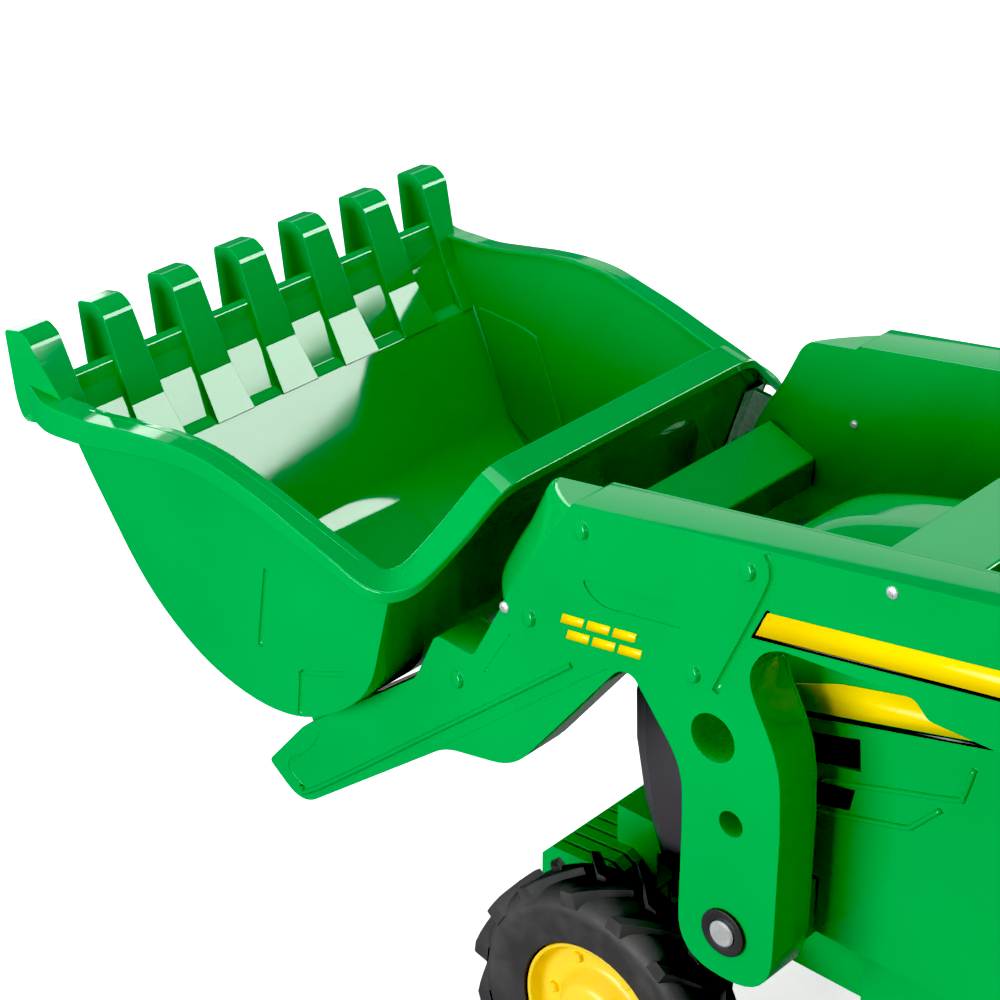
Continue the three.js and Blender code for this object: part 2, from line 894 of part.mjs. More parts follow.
function chassisBody() {
  const deck = floorPlate(
    [
      [-206, 108, 30],
      [206, 108, 30],
      [310, 150, 24],
      [310, 352, 24],
      [218, 392, 10],
      [218, 420, 4],
      [-218, 420, 4],
      [-218, 392, 10],
      [-310, 352, 24],
      [-310, 150, 24],
    ],
    172,
    184,
  );
  const beam = box(-70, 70, BEAM_FRONT, 130, 192, 296);
  const crossBeam = box(-165, 165, PIVOT.y - 30, PIVOT.y + 30, 294, 352);
  const tub = sidePlate(
    [
      [100, 180, 10],
      [100, 296, 20],
      [420, 330, 40],
      [452, 392, 14],
      [700, 392, 20],
      [760, 330, 30],
      [760, 180, 10],
    ],
    -128,
    128,
  );
  const wings = box(-216, 216, 452, 728, 340, 372);
  const hollow = sidePlate(
    [
      [112, 170, 4],
      [112, 284, 14],
      [424, 318, 30],
      [458, 380, 10],
      [696, 380, 14],
      [748, 324, 20],
      [748, 170, 4],
    ],
    -122,
    122,
  );
  const beamRoom = box(-64, 64, BEAM_FRONT + 6, 116, 180, 288);
  const fenderLeft = fender();
  const whole = join(deck, beam, crossBeam, tub, wings, fenderLeft, mirrored(fenderLeft));
  const shaftWay = rod([0, ...shaftPoint(-420)], [0, ...shaftPoint(-640)], 11, 14);
  return cut(
    whole,
    hollow,
    beamRoom,
    box(-158, -74, PIVOT.y - 24, PIVOT.y + 24, 280, 346),
    box(74, 158, PIVOT.y - 24, PIVOT.y + 24, 280, 346),
    rodX(-170, 170, PIVOT, PIVOT_TUBE_R + GAP, 20),
    rodX(-230, 230, REAR_AXLE, AXLE_R + GAP, 16),
    shaftWay,
  );
}

place("chassis_body", chassisBody(), GREEN);

function frontWeights() {
  const count = 9;
  const pitch = 17;
  const slab = (i) => {
    const x = (i - (count - 1) / 2) * pitch;
    return sidePlate(
      [
        [-306, 92, 10],
        [-306, 178, 12],
        [-222, 186, 8],
        [-200, 150, 6],
        [-200, 92, 6],
      ],
      x - 6.5,
      x + 6.5,
      1,
    );
  };
  const core = sidePlate(
    [
      [-299, 98, 8],
      [-299, 172, 8],
      [-224, 179, 6],
      [-206, 146, 4],
      [-206, 98, 4],
    ],
    -74,
    74,
    1,
  );
  const tongue = box(-30, 30, -210, -150 - GAP, 194, 226);
  const neck = box(-30, 30, -250, -200, 150, 226);
  return join(core, ...Array.from({ length: count }, (_, i) => slab(i)), tongue, neck);
}

place("front_weight_block", frontWeights(), GREEN);

// ---------------------------------------------------------------- console and steering
function dashboardConsole() {
  const outer = sidePlate(
    [
      [266, 330, 4],
      [266, 690, 10],
      [286, 716, 14],
      [352, 672, 16],
      [360, 600, 20],
      [330, 420, 20],
      [340, 336, 4],
    ],
    -112,
    112,
  );
  const room = sidePlate(
    [
      [260, 320, 0],
      [260, 684, 0],
      [288, 708, 8],
      [346, 668, 10],
      [354, 600, 14],
      [324, 420, 14],
      [334, 320, 0],
    ],
    -106,
    106,
  );
  const shaftWay = rod([0, ...shaftPoint(-10)], [0, ...shaftPoint(-200)], 11, 16);
  return cut(outer, room, shaftWay);
}

place("dashboard_console", dashboardConsole(), BLACK);

function steeringShaft() {
  return join(
    rod([0, ...shaftPoint(-6)], [0, ...shaftPoint(-655)], 7, 12),
    rod([0, ...shaftPoint(-34)], [0, ...shaftPoint(-60)], 9.5, 14),
  );
}

function steeringWheel() {
  const rim = new THREE.TorusGeometry(STEER_WHEEL.r, 11, 8, 26);
  const hub = new THREE.CylinderGeometry(30, 36, 26, 24).rotateX(Math.PI / 2);
  const spokes = [90, 210, 330].map((degrees) => {
    const angle = THREE.MathUtils.degToRad(degrees);
    const arm = new THREE.BoxGeometry(STEER_WHEEL.r - 20, 24, 9);
    return arm.translate((STEER_WHEEL.r - 20) / 2 + 16, 0, 0).rotateZ(angle);
  });
  const wheel = join(...[rim, hub, ...spokes].map((part) => solid(part)));
  const bored = cut(
    wheel,
    rod([0, 0, -40], [0, 0, 4], 7 + GAP, 14),
    rod([0, 0, -60], [0, 0, -33.6], 10, 14),
  );
  const tilted = bored.rotate([-THREE.MathUtils.radToDeg(STEER_TILT), 0, 0]);
  return tilted.translate([0, STEER_WHEEL.y, STEER_WHEEL.z]);
}

function steeringCap() {
  return rod([0, ...shaftPoint(13 + GAP)], [0, ...shaftPoint(19)], 24, 24, 20);
}

place("steering_shaft", steeringShaft(), STEEL);
place("steering_wheel", steeringWheel(), BLACK);
place("steering_wheel_cap", steeringCap(), YELLOW);

// ---------------------------------------------------------------- front axle
function frontAxleBeam() {
  const y = FRONT_AXLE.y;
  const beam = box(-KINGPIN_X, KINGPIN_X, y - 14, y + 14, 152, 188);
  const eyes = [-1, 1].map((side) =>
    rod([side * KINGPIN_X, y, 152], [side * KINGPIN_X, y, 188], 16, 20),
  );
  const pins = [-1, 1].map((side) =>
    rod([side * KINGPIN_X, y, 140], [side * KINGPIN_X, y, 200], 6 + GAP, 14),
  );
  const saddle = box(-62, 62, y - 10, y + 10, 180, 191.6);
  return cut(join(beam, ...eyes, saddle), ...pins);
}

function knuckle() {
  const { y, z } = FRONT_AXLE;
  return join(
    rod([KINGPIN_X, y, z - 6], [KINGPIN_X, y, 196], 6, 14),
    rod([KINGPIN_X, y, z - 8], [KINGPIN_X, y, 151], 13, 16),
    rodX(KINGPIN_X, FRONT_AXLE.outer + 6, FRONT_AXLE, 6, 14),
    box(KINGPIN_X - 6, KINGPIN_X + 6, y, y + 56, z - 6, z + 3),
  );
}

function tieRod() {
  return rod([-124, FRONT_AXLE.y + 50, 149.5], [124, FRONT_AXLE.y + 50, 149.5], 5, 12);
}

place("front_axle_beam", frontAxleBeam(), BLACK);
placePair("knuckle_SIDE", knuckle(), STEEL);
place("tie_rod", tieRod(), STEEL);

// ---------------------------------------------------------------- wheels
function tyre({ r, inner, outer }, at, sides) {
  const bore = r * 0.56;
  const shoulder = r * 0.07;
  return turned(
    [
      [bore, inner + 6],
      [r - shoulder, inner],
      [r, inner + shoulder],
      [r, outer - shoulder],
      [r - shoulder, outer],
      [bore, outer - 6],
    ],
    at,
    sides,
  );
}

function hub({ r, inner, outer }, at, boreRadius, sides) {
  const rim = r * 0.56 - 1;
  return turned(
    [
      [boreRadius, inner + 4],
      [rim * 0.45, inner + 4],
      [rim - 6, inner + 20],
      [rim, inner + 8],
      [rim, outer - 8],
      [rim - 8, outer - 22],
      [rim * 0.45, outer - 3],
      [boreRadius, outer - 3],
    ],
    at,
    sides,
  );
}

placePair("front_tyre_SIDE", tyre(FRONT_AXLE, FRONT_AXLE, 28), RUBBER);
placePair("front_hub_SIDE", hub(FRONT_AXLE, FRONT_AXLE, 6.4, 20), YELLOW);
placePair("rear_tyre_SIDE", tyre(REAR_AXLE, REAR_AXLE, 32), RUBBER);
placePair("rear_hub_SIDE", hub(REAR_AXLE, REAR_AXLE, AXLE_R + GAP, 20), YELLOW);
place("rear_axle", rodX(-350, 350, REAR_AXLE, AXLE_R, 16), STEEL);

function gearbox() {
  const casing = box(134, 210, REAR_AXLE.y - 50, REAR_AXLE.y + 60, 140, 270);
  const motor = rodX(140, 200, { y: REAR_AXLE.y + 90, z: 230 }, 32, 20);
  return cut(join(casing, motor), rodX(120, 230, REAR_AXLE, AXLE_R + GAP, 16));
}

placePair("gearbox_SIDE", gearbox(), BLACK);

place("battery", box(-80, 80, 610, 700, 214, 330), BLACK);

// ---------------------------------------------------------------- seat and controls
function seatShell() {
  const outer = sidePlate(
    [
      [448, 392.4, 6],
      [448, 420, 20],
      [632, 410, 40],
      [694, 640, 24],
      [722, 640, 14],
      [700, 392.4, 20],
    ],
    -150,
    150,
  );
  const room = sidePlate(
    [
      [462, 380, 0],
      [462, 408, 10],
      [638, 400, 30],
      [698, 626, 8],
      [711, 626, 6],
      [690, 380, 4],
    ],
    -140,
    140,
  );
  return cut(outer, room);
}

place("seat_shell", seatShell(), YELLOW);

function pedal() {
  const plate = sidePlate(
    [
      [176, 214, 2],
      [184, 218, 2],
      [272, 190, 2],
      [272, 186, 1],
    ],
    -206,
    -150,
  );
  const barrel = rodX(-200, -156, { y: 270, z: 191 }, 5, 12);
  return join(plate, barrel);
}

place("accelerator_pedal", pedal(), BLACK);

function gearLever() {
  return join(
    rod([-168, 519.2, 377], [-168, 500, 450], 6, 12),
    rod([-168, 500, 448], [-168, 494, 474], 14, 16, 12),
    rodX(-180, -156, { y: 520, z: 380 }, 7, 12),
  );
}

place("gear_lever", gearLever(), YELLOW);

function towHitch() {
  return cut(
    join(
      box(-22, 22, 760 + GAP, 781, 214, 226),
      rod([0, 781, 214], [0, 781, 226], 20.5, 20),
      box(-30, 30, 760 + GAP, 766, 200, 240),
    ),
    rod([0, 781, 200], [0, 781, 240], 8, 16),
  );
}

place("tow_hitch", towHitch(), BLACK);

export default root;
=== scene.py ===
"""Looks of the ride-on toy front loader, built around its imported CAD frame.

The toy faces -Y, +Z is up and +X is its left side. Shapes are written in millimetres and turned
into metres where a mesh is made.
"""

import json
import math

import bmesh
import bpy
from mathutils import Matrix, Vector


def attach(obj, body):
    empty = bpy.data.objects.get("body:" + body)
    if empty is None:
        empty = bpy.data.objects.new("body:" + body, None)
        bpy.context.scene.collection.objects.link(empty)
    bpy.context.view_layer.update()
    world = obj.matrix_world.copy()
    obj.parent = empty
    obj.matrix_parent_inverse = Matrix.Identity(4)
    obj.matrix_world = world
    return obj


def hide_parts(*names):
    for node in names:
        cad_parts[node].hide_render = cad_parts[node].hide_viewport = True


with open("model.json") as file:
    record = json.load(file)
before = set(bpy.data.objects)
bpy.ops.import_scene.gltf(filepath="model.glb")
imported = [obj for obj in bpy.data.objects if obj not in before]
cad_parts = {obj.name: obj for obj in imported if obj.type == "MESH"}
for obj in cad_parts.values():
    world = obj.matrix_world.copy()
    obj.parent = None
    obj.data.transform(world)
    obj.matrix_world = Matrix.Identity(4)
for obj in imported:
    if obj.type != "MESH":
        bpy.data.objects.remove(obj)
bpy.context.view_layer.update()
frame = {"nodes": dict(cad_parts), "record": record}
NODES = frame["nodes"]
SLOT_OF = {part["node"]: part["material_slot"] for part in frame["record"]["subparts"]}
MM = 0.001

# ---- driving dimensions
ARM_OUT = 220
ARM_IN = 171
ARM_COVER = 3
ARM_Y = -150
ARM_Z = 670
ARM_PITCH = math.radians(9.3)
ARM_END = 520
GAP = 0.3
ARM_INNER = ARM_IN + ARM_COVER + GAP

PIVOT = (22, 330)
PIVOT_TUBE_R = 12
BUSH_WAY_R = 16.3
HINGE = (-502, 263)
HINGE_R = 5

BUCKET_WALL = 4.5
WALL_FOOT_Z = 328
WALL_FOOT_HALF = 244
WALL_RISE = 272
WALL_SPREAD = 24
TEETH = 7
TOOTH_PITCH = 87.8
TOOTH_WIDTH = 40.8

HOOD_HALF = 137
FRONT_AXLE = {"y": -130, "z": 140, "r": 140, "inner": 140, "outer": 215, "bore": 6.4}
REAR_AXLE = {"y": 570, "z": 190, "r": 190, "inner": 235, "outer": 345, "bore": 8.3}
REAR_AXLE_HALF = 350
TIE_ROD = {"half": 124, "y": -80, "z": 149.5}
HUB_SHARE = 0.56
STEER_WHEEL = {"y": 335, "z": 760, "r": 140}
STEER_TILT = math.radians(39)

# Printed foils: how thick they lie on the plastic.
FOIL = 0.35
EDGE_FOIL = 0.33
MARK_FOIL = 0.3

# The camera: where it stands in metres, and the way it looks.
CAMERA_PLACE = (1.6160, 1.0438, 1.6931)
CAMERA_AZIMUTH = math.radians(132.3511)
CAMERA_ELEVATION = math.radians(29.0571)
CAMERA_LENS = 94.46
SENSOR = 36
CLIP = (0.05, 60)

# The floor's half width in millimetres, and its light.
FLOOR = 60000
FLOOR_GLOW = 0.75
BACKDROP_LIGHT = 0.20
BACKDROP_SEEN = 0.90
BLACK_LEVEL = 0.045


# ---- node helpers
class Nodes:
    """A short way to write a material's node tree."""

    def __init__(self, name):
        self.material = bpy.data.materials.new(name)
        self.material.use_nodes = True
        self.tree = self.material.node_tree
        self.shader = self.tree.nodes["Principled BSDF"]
        self.place = self.node("TexCoord").outputs["Object"]

    def link(self, out, into):
        self.tree.links.new(out, into)

    def node(self, kind, inputs=None, **values):
        """A new node. Each input is a number, a colour or another node's output."""
        made = self.tree.nodes.new("ShaderNode" + kind)
        for key, value in values.items():
            setattr(made, key, value)
        for key, value in (inputs or {}).items():
            if isinstance(value, bpy.types.NodeSocket):
                self.link(value, made.inputs[key])
            else:
                made.inputs[key].default_value = value
        return made

    def stretched(self, scale):
        return self.node("Mapping", {"Scale": scale, "Vector": self.place}).outputs["Vector"]

    def noise(self, scale, detail=2.0, vector=None):
        inputs = {"Scale": scale, "Detail": detail, "Vector": vector or self.place}
        return self.node("TexNoise", inputs).outputs["Fac"]

    def spread(self, value, low, high, start=0.3, end=0.7):
        """A value from start to end, mapped onto low to high."""
        span = {"From Min": start, "From Max": end, "To Min": low, "To Max": high}
        return self.node("MapRange", {**span, "Value": value}).outputs["Result"]

    def mix(self, factor, first, second):
        """A mix of two colours, each of them a tuple or another node's output."""
        ends = [(*end, 1) if isinstance(end, tuple) else end for end in (first, second)]
        inputs = {"A": ends[0], "B": ends[1], "Factor": factor}
        return self.node("Mix", inputs, data_type="RGBA").outputs["Result"]

    def bump(self, height, strength, distance, under=None):
        inputs = {"Strength": strength, "Distance": distance, "Height": height}
        if under is not None:
            inputs["Normal"] = under
        return self.node("Bump", inputs).outputs["Normal"]

    def math(self, operation, first, second):
        return self.node("Math", {0: first, 1: second}, operation=operation).outputs["Value"]

    def edges(self, radius):
        """1 on sharp outer and inner edges, 0 on flat faces."""
        bevel = self.node("Bevel", {"Radius": radius}, samples=4).outputs["Normal"]
        flat = self.node("NewGeometry").outputs["Normal"]
        alike = self.node("VectorMath", {0: bevel, 1: flat}, operation="DOT_PRODUCT")
        return self.spread(alike.outputs["Value"], 1.0, 0.0, 0.80, 0.985)


def tinted(colour, factor):
    """A colour made lighter or darker."""
    return tuple(min(1.0, c * factor) for c in colour)


def moulded(name, colour, roughness, grain_scale, grain_depth, worn):
    """Moulded plastic: uneven pigment, fine surface grain, hair scratches and rubbed edges."""
    n = Nodes(name)
    pigment = n.mix(
        n.spread(n.noise(5.0, 3.0), 0.0, 1.0), tinted(colour, 0.94), tinted(colour, 1.05)
    )
    scratches = n.spread(n.noise(60.0, 4.0, n.stretched((1.0, 14.0, 14.0))), 0.0, 1.0, 0.62, 0.74)
    rubbed = n.mix(n.spread(scratches, 0.0, 0.10, 0.0, 1.0), pigment, worn)
    edge = n.math("MULTIPLY", n.edges(0.0012), n.spread(n.noise(38.0, 5.0), 0.0, 0.30))
    n.link(n.mix(edge, rubbed, worn), n.shader.inputs["Base Color"])
    uneven = n.spread(n.noise(14.0, 5.0), roughness * 0.82, roughness * 1.25)
    gloss = n.math("ADD", uneven, n.spread(scratches, 0.0, 0.06, 0.0, 1.0))
    n.link(gloss, n.shader.inputs["Roughness"])
    waves = n.bump(n.noise(18.0, 1.0), 0.10, 0.0012)
    grain = n.bump(n.noise(grain_scale, 2.0), 0.35, grain_depth, waves)
    n.link(grain, n.shader.inputs["Normal"])
    n.shader.inputs["Specular IOR Level"].default_value = 0.42
    return n.material


def zinc_plate(name):
    """Zinc plated steel: spangle, a few dull patches and drawn lines."""
    n = Nodes(name)
    cells = n.node("TexVoronoi", {"Scale": 240, "Vector": n.place})
    spangle = n.spread(cells.outputs["Distance"], 0.0, 1.0, 0.0, 0.9)
    colour = n.mix(spangle, (0.80, 0.81, 0.82), (0.66, 0.68, 0.69))
    dull = n.spread(n.noise(22.0, 4.0), 0.0, 0.5, 0.5, 0.75)
    n.link(n.mix(dull, colour, (0.56, 0.56, 0.54)), n.shader.inputs["Base Color"])
    n.link(n.spread(n.noise(90.0, 4.0), 0.30, 0.48), n.shader.inputs["Roughness"])
    lines = n.noise(300.0, 3.0, n.stretched((0.2, 1.0, 1.0)))
    n.link(n.bump(lines, 0.25, 0.0002), n.shader.inputs["Normal"])
    n.shader.inputs["Metallic"].default_value = 0.55
    return n.material


def tyre_plastic(name):
    """Hard black tyre plastic with patches of dust."""
    n = Nodes(name)
    dust = n.spread(n.noise(30.0, 6.0), 0.0, 0.5, 0.45, 0.75)
    n.link(n.mix(dust, (0.060, 0.060, 0.062), (0.11, 0.105, 0.10)), n.shader.inputs["Base Color"])
    n.link(n.spread(n.noise(60.0, 4.0), 0.48, 0.72), n.shader.inputs["Roughness"])
    n.link(n.bump(n.noise(700.0, 3.0), 0.4, 0.0004), n.shader.inputs["Normal"])
    return n.material


def printed(name, colour, worn):
    """A printed foil: near even colour, tiny pin holes and soft gloss."""
    n = Nodes(name)
    holes = n.spread(n.noise(420.0, 3.0), 0.0, 0.6, 0.70, 0.80)
    tone = n.mix(n.spread(n.noise(9.0, 2.0), 0.0, 1.0), tinted(colour, 0.96), tinted(colour, 1.03))
    n.link(n.mix(holes, tone, worn), n.shader.inputs["Base Color"])
    n.link(n.spread(n.noise(30.0, 3.0), 0.24, 0.36), n.shader.inputs["Roughness"])
    n.link(n.bump(n.noise(500.0, 2.0), 0.12, 0.0001), n.shader.inputs["Normal"])
    return n.material


GREEN = (0.0, 0.43, 0.095)
MATERIALS = {
    "green_shell": moulded("green plastic", GREEN, 0.06, 900.0, 0.00002, (0.06, 0.50, 0.18)),
    "yellow_plastic": moulded(
        "yellow plastic", (0.93, 0.67, 0.070), 0.27, 800.0, 0.0001, (0.95, 0.75, 0.18)
    ),
    "black_plastic": moulded(
        "black plastic", (0.055, 0.055, 0.058), 0.36, 1100.0, 0.0002, (0.12, 0.12, 0.12)
    ),
    "grey_grille": moulded(
        "dark grey plastic", (0.088, 0.083, 0.092), 0.34, 1000.0, 0.0002, (0.20, 0.19, 0.20)
    ),
    "zinc_steel": zinc_plate("zinc plated steel"),
    "black_tyre": tyre_plastic("tyre plastic"),
}
YELLOW_PRINT = printed("yellow foil", (1.0, 0.72, 0.008), (0.75, 0.62, 0.12))
BLACK_PRINT = printed("black foil", (0.012, 0.013, 0.016), (0.05, 0.08, 0.05))


# ---- mesh helpers
def rounded(corners, steps=6):
    """A closed outline of corners (a, b, radius), each radius turned into a smooth curve."""
    points = []
    longest = 0.48
    for i, corner in enumerate(corners):
        here = Vector(corner[:2])
        radius = corner[2] if len(corner) > 2 else 0
        if radius <= 0:
            points.append(here)
            continue
        before = Vector(corners[i - 1][:2]) - here
        after = Vector(corners[(i + 1) % len(corners)][:2]) - here
        start = here + before.normalized() * min(radius, before.length * longest)
        end = here + after.normalized() * min(radius, after.length * longest)
        for k in range(steps + 1):
            t = k / steps
            points.append(start.lerp(here, t).lerp(here.lerp(end, t), t))
    return points


def smooth_line(keys, steps):
    """Points on a smooth line through the keys, each of them a tuple of numbers."""
    line = []
    last = len(keys) - 1
    for i in range(last):
        before, start = keys[max(i - 1, 0)], keys[i]
        end, after = keys[i + 1], keys[min(i + 2, last)]
        for k in range(steps):
            t = k / steps
            line.append(
                tuple(
                    0.5
                    * (
                        2 * b
                        + (c - a) * t
                        + (2 * a - 5 * b + 4 * c - d) * t * t
                        + (3 * b - a - 3 * c + d) * t**3
                    )
                    for a, b, c, d in zip(before, start, end, after)
                )
            )
    line.append(tuple(float(x) for x in keys[last]))
    return line


def build(name, points, faces):
    """An object from points in millimetres, with its faces turned outwards."""
    mesh = bpy.data.meshes.new(name)
    mesh.from_pydata([tuple(c * MM for c in p) for p in points], [], faces)
    made = bmesh.new()
    made.from_mesh(mesh)
    bmesh.ops.remove_doubles(made, verts=made.verts, dist=1e-6)
    loose = [edge for edge in made.edges if not edge.link_faces]
    bmesh.ops.delete(made, geom=loose, context="EDGES")
    bmesh.ops.recalc_face_normals(made, faces=made.faces)
    for face in made.faces:
        face.smooth = True
    made.to_mesh(mesh)
    made.free()
    thing = bpy.data.objects.new(name, mesh)
    bpy.context.scene.collection.objects.link(thing)
    return thing


def skin(name, sections, close=False):
    """A closed skin through sections with the same number of points."""
    count = len(sections[0])
    points = [p for section in sections for p in section]
    faces = []
    total = len(sections)
    for s in range(total if close else total - 1):
        for i in range(count):
            j = (i + 1) % count
            a, b = s * count, ((s + 1) % total) * count
            faces.append((a + i, a + j, b + j, b + i))
    if not close:
        faces.append(tuple(range(count)))
        faces.append(tuple((total - 1) * count + i for i in reversed(range(count))))
    return build(name, points, faces)


def plate_x(name, outline, x0, x1):
    """A plate with its outline in (y, z), between two values of x."""
    return skin(name, [[(x, y, z) for y, z in outline] for x in (x0, x1)])


def turned(name, profile, origin, axis, segments=64):
    """A solid turned about an axis. The profile is (radius, height) and closes on itself."""
    along = Vector(axis).normalized()
    side = along.orthogonal().normalized()
    other = along.cross(side)
    base = Vector(origin)
    sections = []
    for k in range(segments):
        angle = 2 * math.pi * k / segments
        out = side * math.cos(angle) + other * math.sin(angle)
        sections.append([tuple(base + out * r + along * h) for r, h in profile])
    return skin(name, sections, close=True)


def tube(name, route, radius, sides=16, close=False):
    """A round bar along a route of points."""
    points = [Vector(p) for p in route]
    sections = []
    normal = None
    for i, here in enumerate(points):
        before = points[i - 1] if i or close else here
        after = points[(i + 1) % len(points)] if i + 1 < len(points) or close else here
        along = (after - before).normalized()
        if normal is None:
            normal = along.orthogonal()
        normal = (normal - along * normal.dot(along)).normalized()
        other = along.cross(normal)
        ring = []
        for k in range(sides):
            angle = 2 * math.pi * k / sides
            offset = normal * math.cos(angle) + other * math.sin(angle)
            ring.append(tuple(here + offset * radius))
        sections.append(ring)
    return skin(name, sections, close)


def rod(name, start, end, radius, chamfer=1.0, segments=40):
    """A straight bar with chamfered ends."""
    along = Vector(end) - Vector(start)
    length = along.length
    profile = [
        (0, 0),
        (radius - chamfer, 0),
        (radius, chamfer),
        (radius, length - chamfer),
        (radius - chamfer, length),
        (0, length),
    ]
    return creased(turned(name, profile, start, along, segments))


def drill(name, start, end, radius, segments=56):
    """A cutter for a round hole, with hardly any chamfer."""
    return rod(name, start, end, radius, 0.1, segments)


def creased(thing, degrees=32):
    """Keeps edges over an angle sharp under smooth shading."""
    thing.data.set_sharp_from_angle(angle=math.radians(degrees))
    return thing


def settled(thing):
    """The object with its modifiers applied."""
    graph = bpy.context.evaluated_depsgraph_get()
    mesh = bpy.data.meshes.new_from_object(thing.evaluated_get(graph))
    thing.modifiers.clear()
    thing.data = mesh
    return thing


def combined(thing, tools, operation="DIFFERENCE"):
    """Cuts tools from a thing, or adds them to it, and clears the tools away."""
    for tool in tools:
        step = thing.modifiers.new("combine", "BOOLEAN")
        step.operation = operation
        step.solver = "EXACT"
        step.object = tool
        settled(thing)
        bpy.data.objects.remove(tool)
    return thing


def merged(name, things):
    """Several closed meshes as one object."""
    whole = bmesh.new()
    for thing in things:
        whole.from_mesh(thing.data)
        bpy.data.objects.remove(thing)
    mesh = bpy.data.meshes.new(name)
    whole.to_mesh(mesh)
    whole.free()
    made = bpy.data.objects.new(name, mesh)
    bpy.context.scene.collection.objects.link(made)
    return made


def softened(thing, width, segments=3, degrees=30):
    """Rounds the sharp edges of a thing by a width in millimetres."""
    step = thing.modifiers.new("rounded edges", "BEVEL")
    step.width = width * MM
    step.segments = segments
    step.limit_method = "ANGLE"
    step.angle_limit = math.radians(degrees)
    step.harden_normals = True
    step.miter_outer = "MITER_ARC"
    even = thing.modifiers.new("even shading", "WEIGHTED_NORMAL")
    even.keep_sharp = True
    even.weight = 80
    return thing


def flat_sided(thing, least=0.9995):
    """Shades the faces that look straight sideways flat, since grooves cut through them."""
    for face in thing.data.polygons:
        if abs(face.normal.x) > least:
            face.use_smooth = False
    return thing


COPIED = ("width", "segments", "limit_method", "angle_limit", "harden_normals")
COPIED += ("keep_sharp", "weight")


def mirror(thing, name):
    """A mirrored copy on the toy's other side."""
    mesh = thing.data.copy()
    mesh.transform(Matrix.Scale(-1, 4, (1, 0, 0)))
    mesh.flip_normals()
    made = bpy.data.objects.new(name, mesh)
    bpy.context.scene.collection.objects.link(made)
    for step in thing.modifiers:
        copy = made.modifiers.new(step.name, step.type)
        for key in COPIED:
            if hasattr(step, key):
                setattr(copy, key, getattr(step, key))
    return made


def finished(thing, body, slot, *stands_for, material=None):
    """Gives a piece the material of its slot, puts it in its body, and hides the CAD nodes that it
    stands for.
    """
    thing.data.materials.clear()
    thing.data.materials.append(material or MATERIALS[slot])
    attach(thing, body)
    if stands_for:
        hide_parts(*stands_for)
    return thing


def refined(node, width=1.2, segments=2, degrees=30):
    """Keeps a CAD node, with its material and rounded edges."""
    thing = NODES[node]
    mesh = thing.data
    if "custom_normal" in mesh.attributes:
        mesh.attributes.remove(mesh.attributes["custom_normal"])
    for face in mesh.polygons:
        face.use_smooth = True
    weld = thing.modifiers.new("weld", "WELD")
    weld.merge_threshold = 0.02 * MM
    flat = thing.modifiers.new("flat faces", "DECIMATE")
    flat.decimate_type = "DISSOLVE"
    flat.angle_limit = math.radians(1)
    softened(thing, width, segments, degrees)
    slot = SLOT_OF[node]
    mesh.materials.clear()
    mesh.materials.append(MATERIALS[slot])


# ---- fasteners
def pan_head(name, at, facing, body, radius=5.2):
    """A zinc pan-head screw with a cross recess."""
    out = Vector(facing).normalized()
    dome = [
        (0, -2.0),
        (radius, -2.0),
        (radius, 0.5),
        (radius * 0.92, 1.4),
        (radius * 0.70, 2.1),
        (radius * 0.35, 2.5),
        (0, 2.6),
    ]
    head = turned(name, dome, at, out, 40)
    side = out.orthogonal().normalized()
    blades = []
    for direction in (side, out.cross(side)):
        across = out.cross(direction)
        corners = []
        for h in (1.5, 3.5):
            for a, b in ((-1, -1), (1, -1), (1, 1), (-1, 1)):
                point = Vector(at) + direction * (a * radius * 0.5) + across * (b * 0.5) + out * h
                corners.append(tuple(point))
        blade = build(
            name + "_recess",
            corners,
            [(0, 3, 2, 1), (4, 5, 6, 7), (0, 1, 5, 4), (1, 2, 6, 5), (2, 3, 7, 6), (3, 0, 4, 7)],
        )
        blades.append(blade)
    combined(head, blades)
    return finished(creased(head), body, "zinc_steel")


# ---- side frames
def arm_point(u, v):
    """Side frame coordinates: u runs rearward along the top edge, v is square to it and up."""
    y = ARM_Y + u * math.cos(ARM_PITCH) - v * math.sin(ARM_PITCH)
    z = ARM_Z + u * math.sin(ARM_PITCH) + v * math.cos(ARM_PITCH)
    return y, z


def arm_corners(corners):
    """Corners (u, v, radius) of a side frame as (y, z, radius)."""
    return [(*arm_point(u, v), *radius) for u, v, *radius in corners]


ARM_FRONT = [(0, 0, 3), (-76, -86, 30)]
LOWER_ARM = [(-140, -172, 8), (-183, -161, 9), (-217, -212, 6), (-384, -306, 5)]
ARM_TIP = [(-443, -358, 6), (-405, -397, 26)]
UNDERSIDE = [
    (-192, -276, 16),
    (-108, -272, 26),
    (28, -143, 10),
    (44, -143, 8),
    (87, -216, 26),
]
POST_END = [
    (PIVOT[0] - 49, 420, 10),
    (PIVOT[0] - 49, PIVOT[1] - 48, 46),
    (PIVOT[0] + 49, PIVOT[1] - 48, 46),
    (PIVOT[0] + 49, 450, 10),
]
POST_REAR = [(189, -189, 26), (163, -116, 22), (180, -90, 14)]
REAR_ARM = [
    (200, -83, 8),
    (322, -93, 5),
    (333, -108, 5),
    (394, -118, 5),
    (ARM_END - 40, -128, 20),
    (ARM_END, -70, 26),
    (ARM_END, 0, 14),
]
ARM_SCREWS = [(309, -9), (-93, -114)]
COVER_SCREWS = [(-148, 592), (-105, 532), (120, 640)]
BOSSES = [(4, -22), (173, -21), (107, -125), (-68, -117), (-166, -200)]
HOLES = [(123, -180, 22), (133, -256, 12)]
PILL = [(-4, -66, 14), (98, -66, 11), (106, -88, 11), (14, -88, 14)]
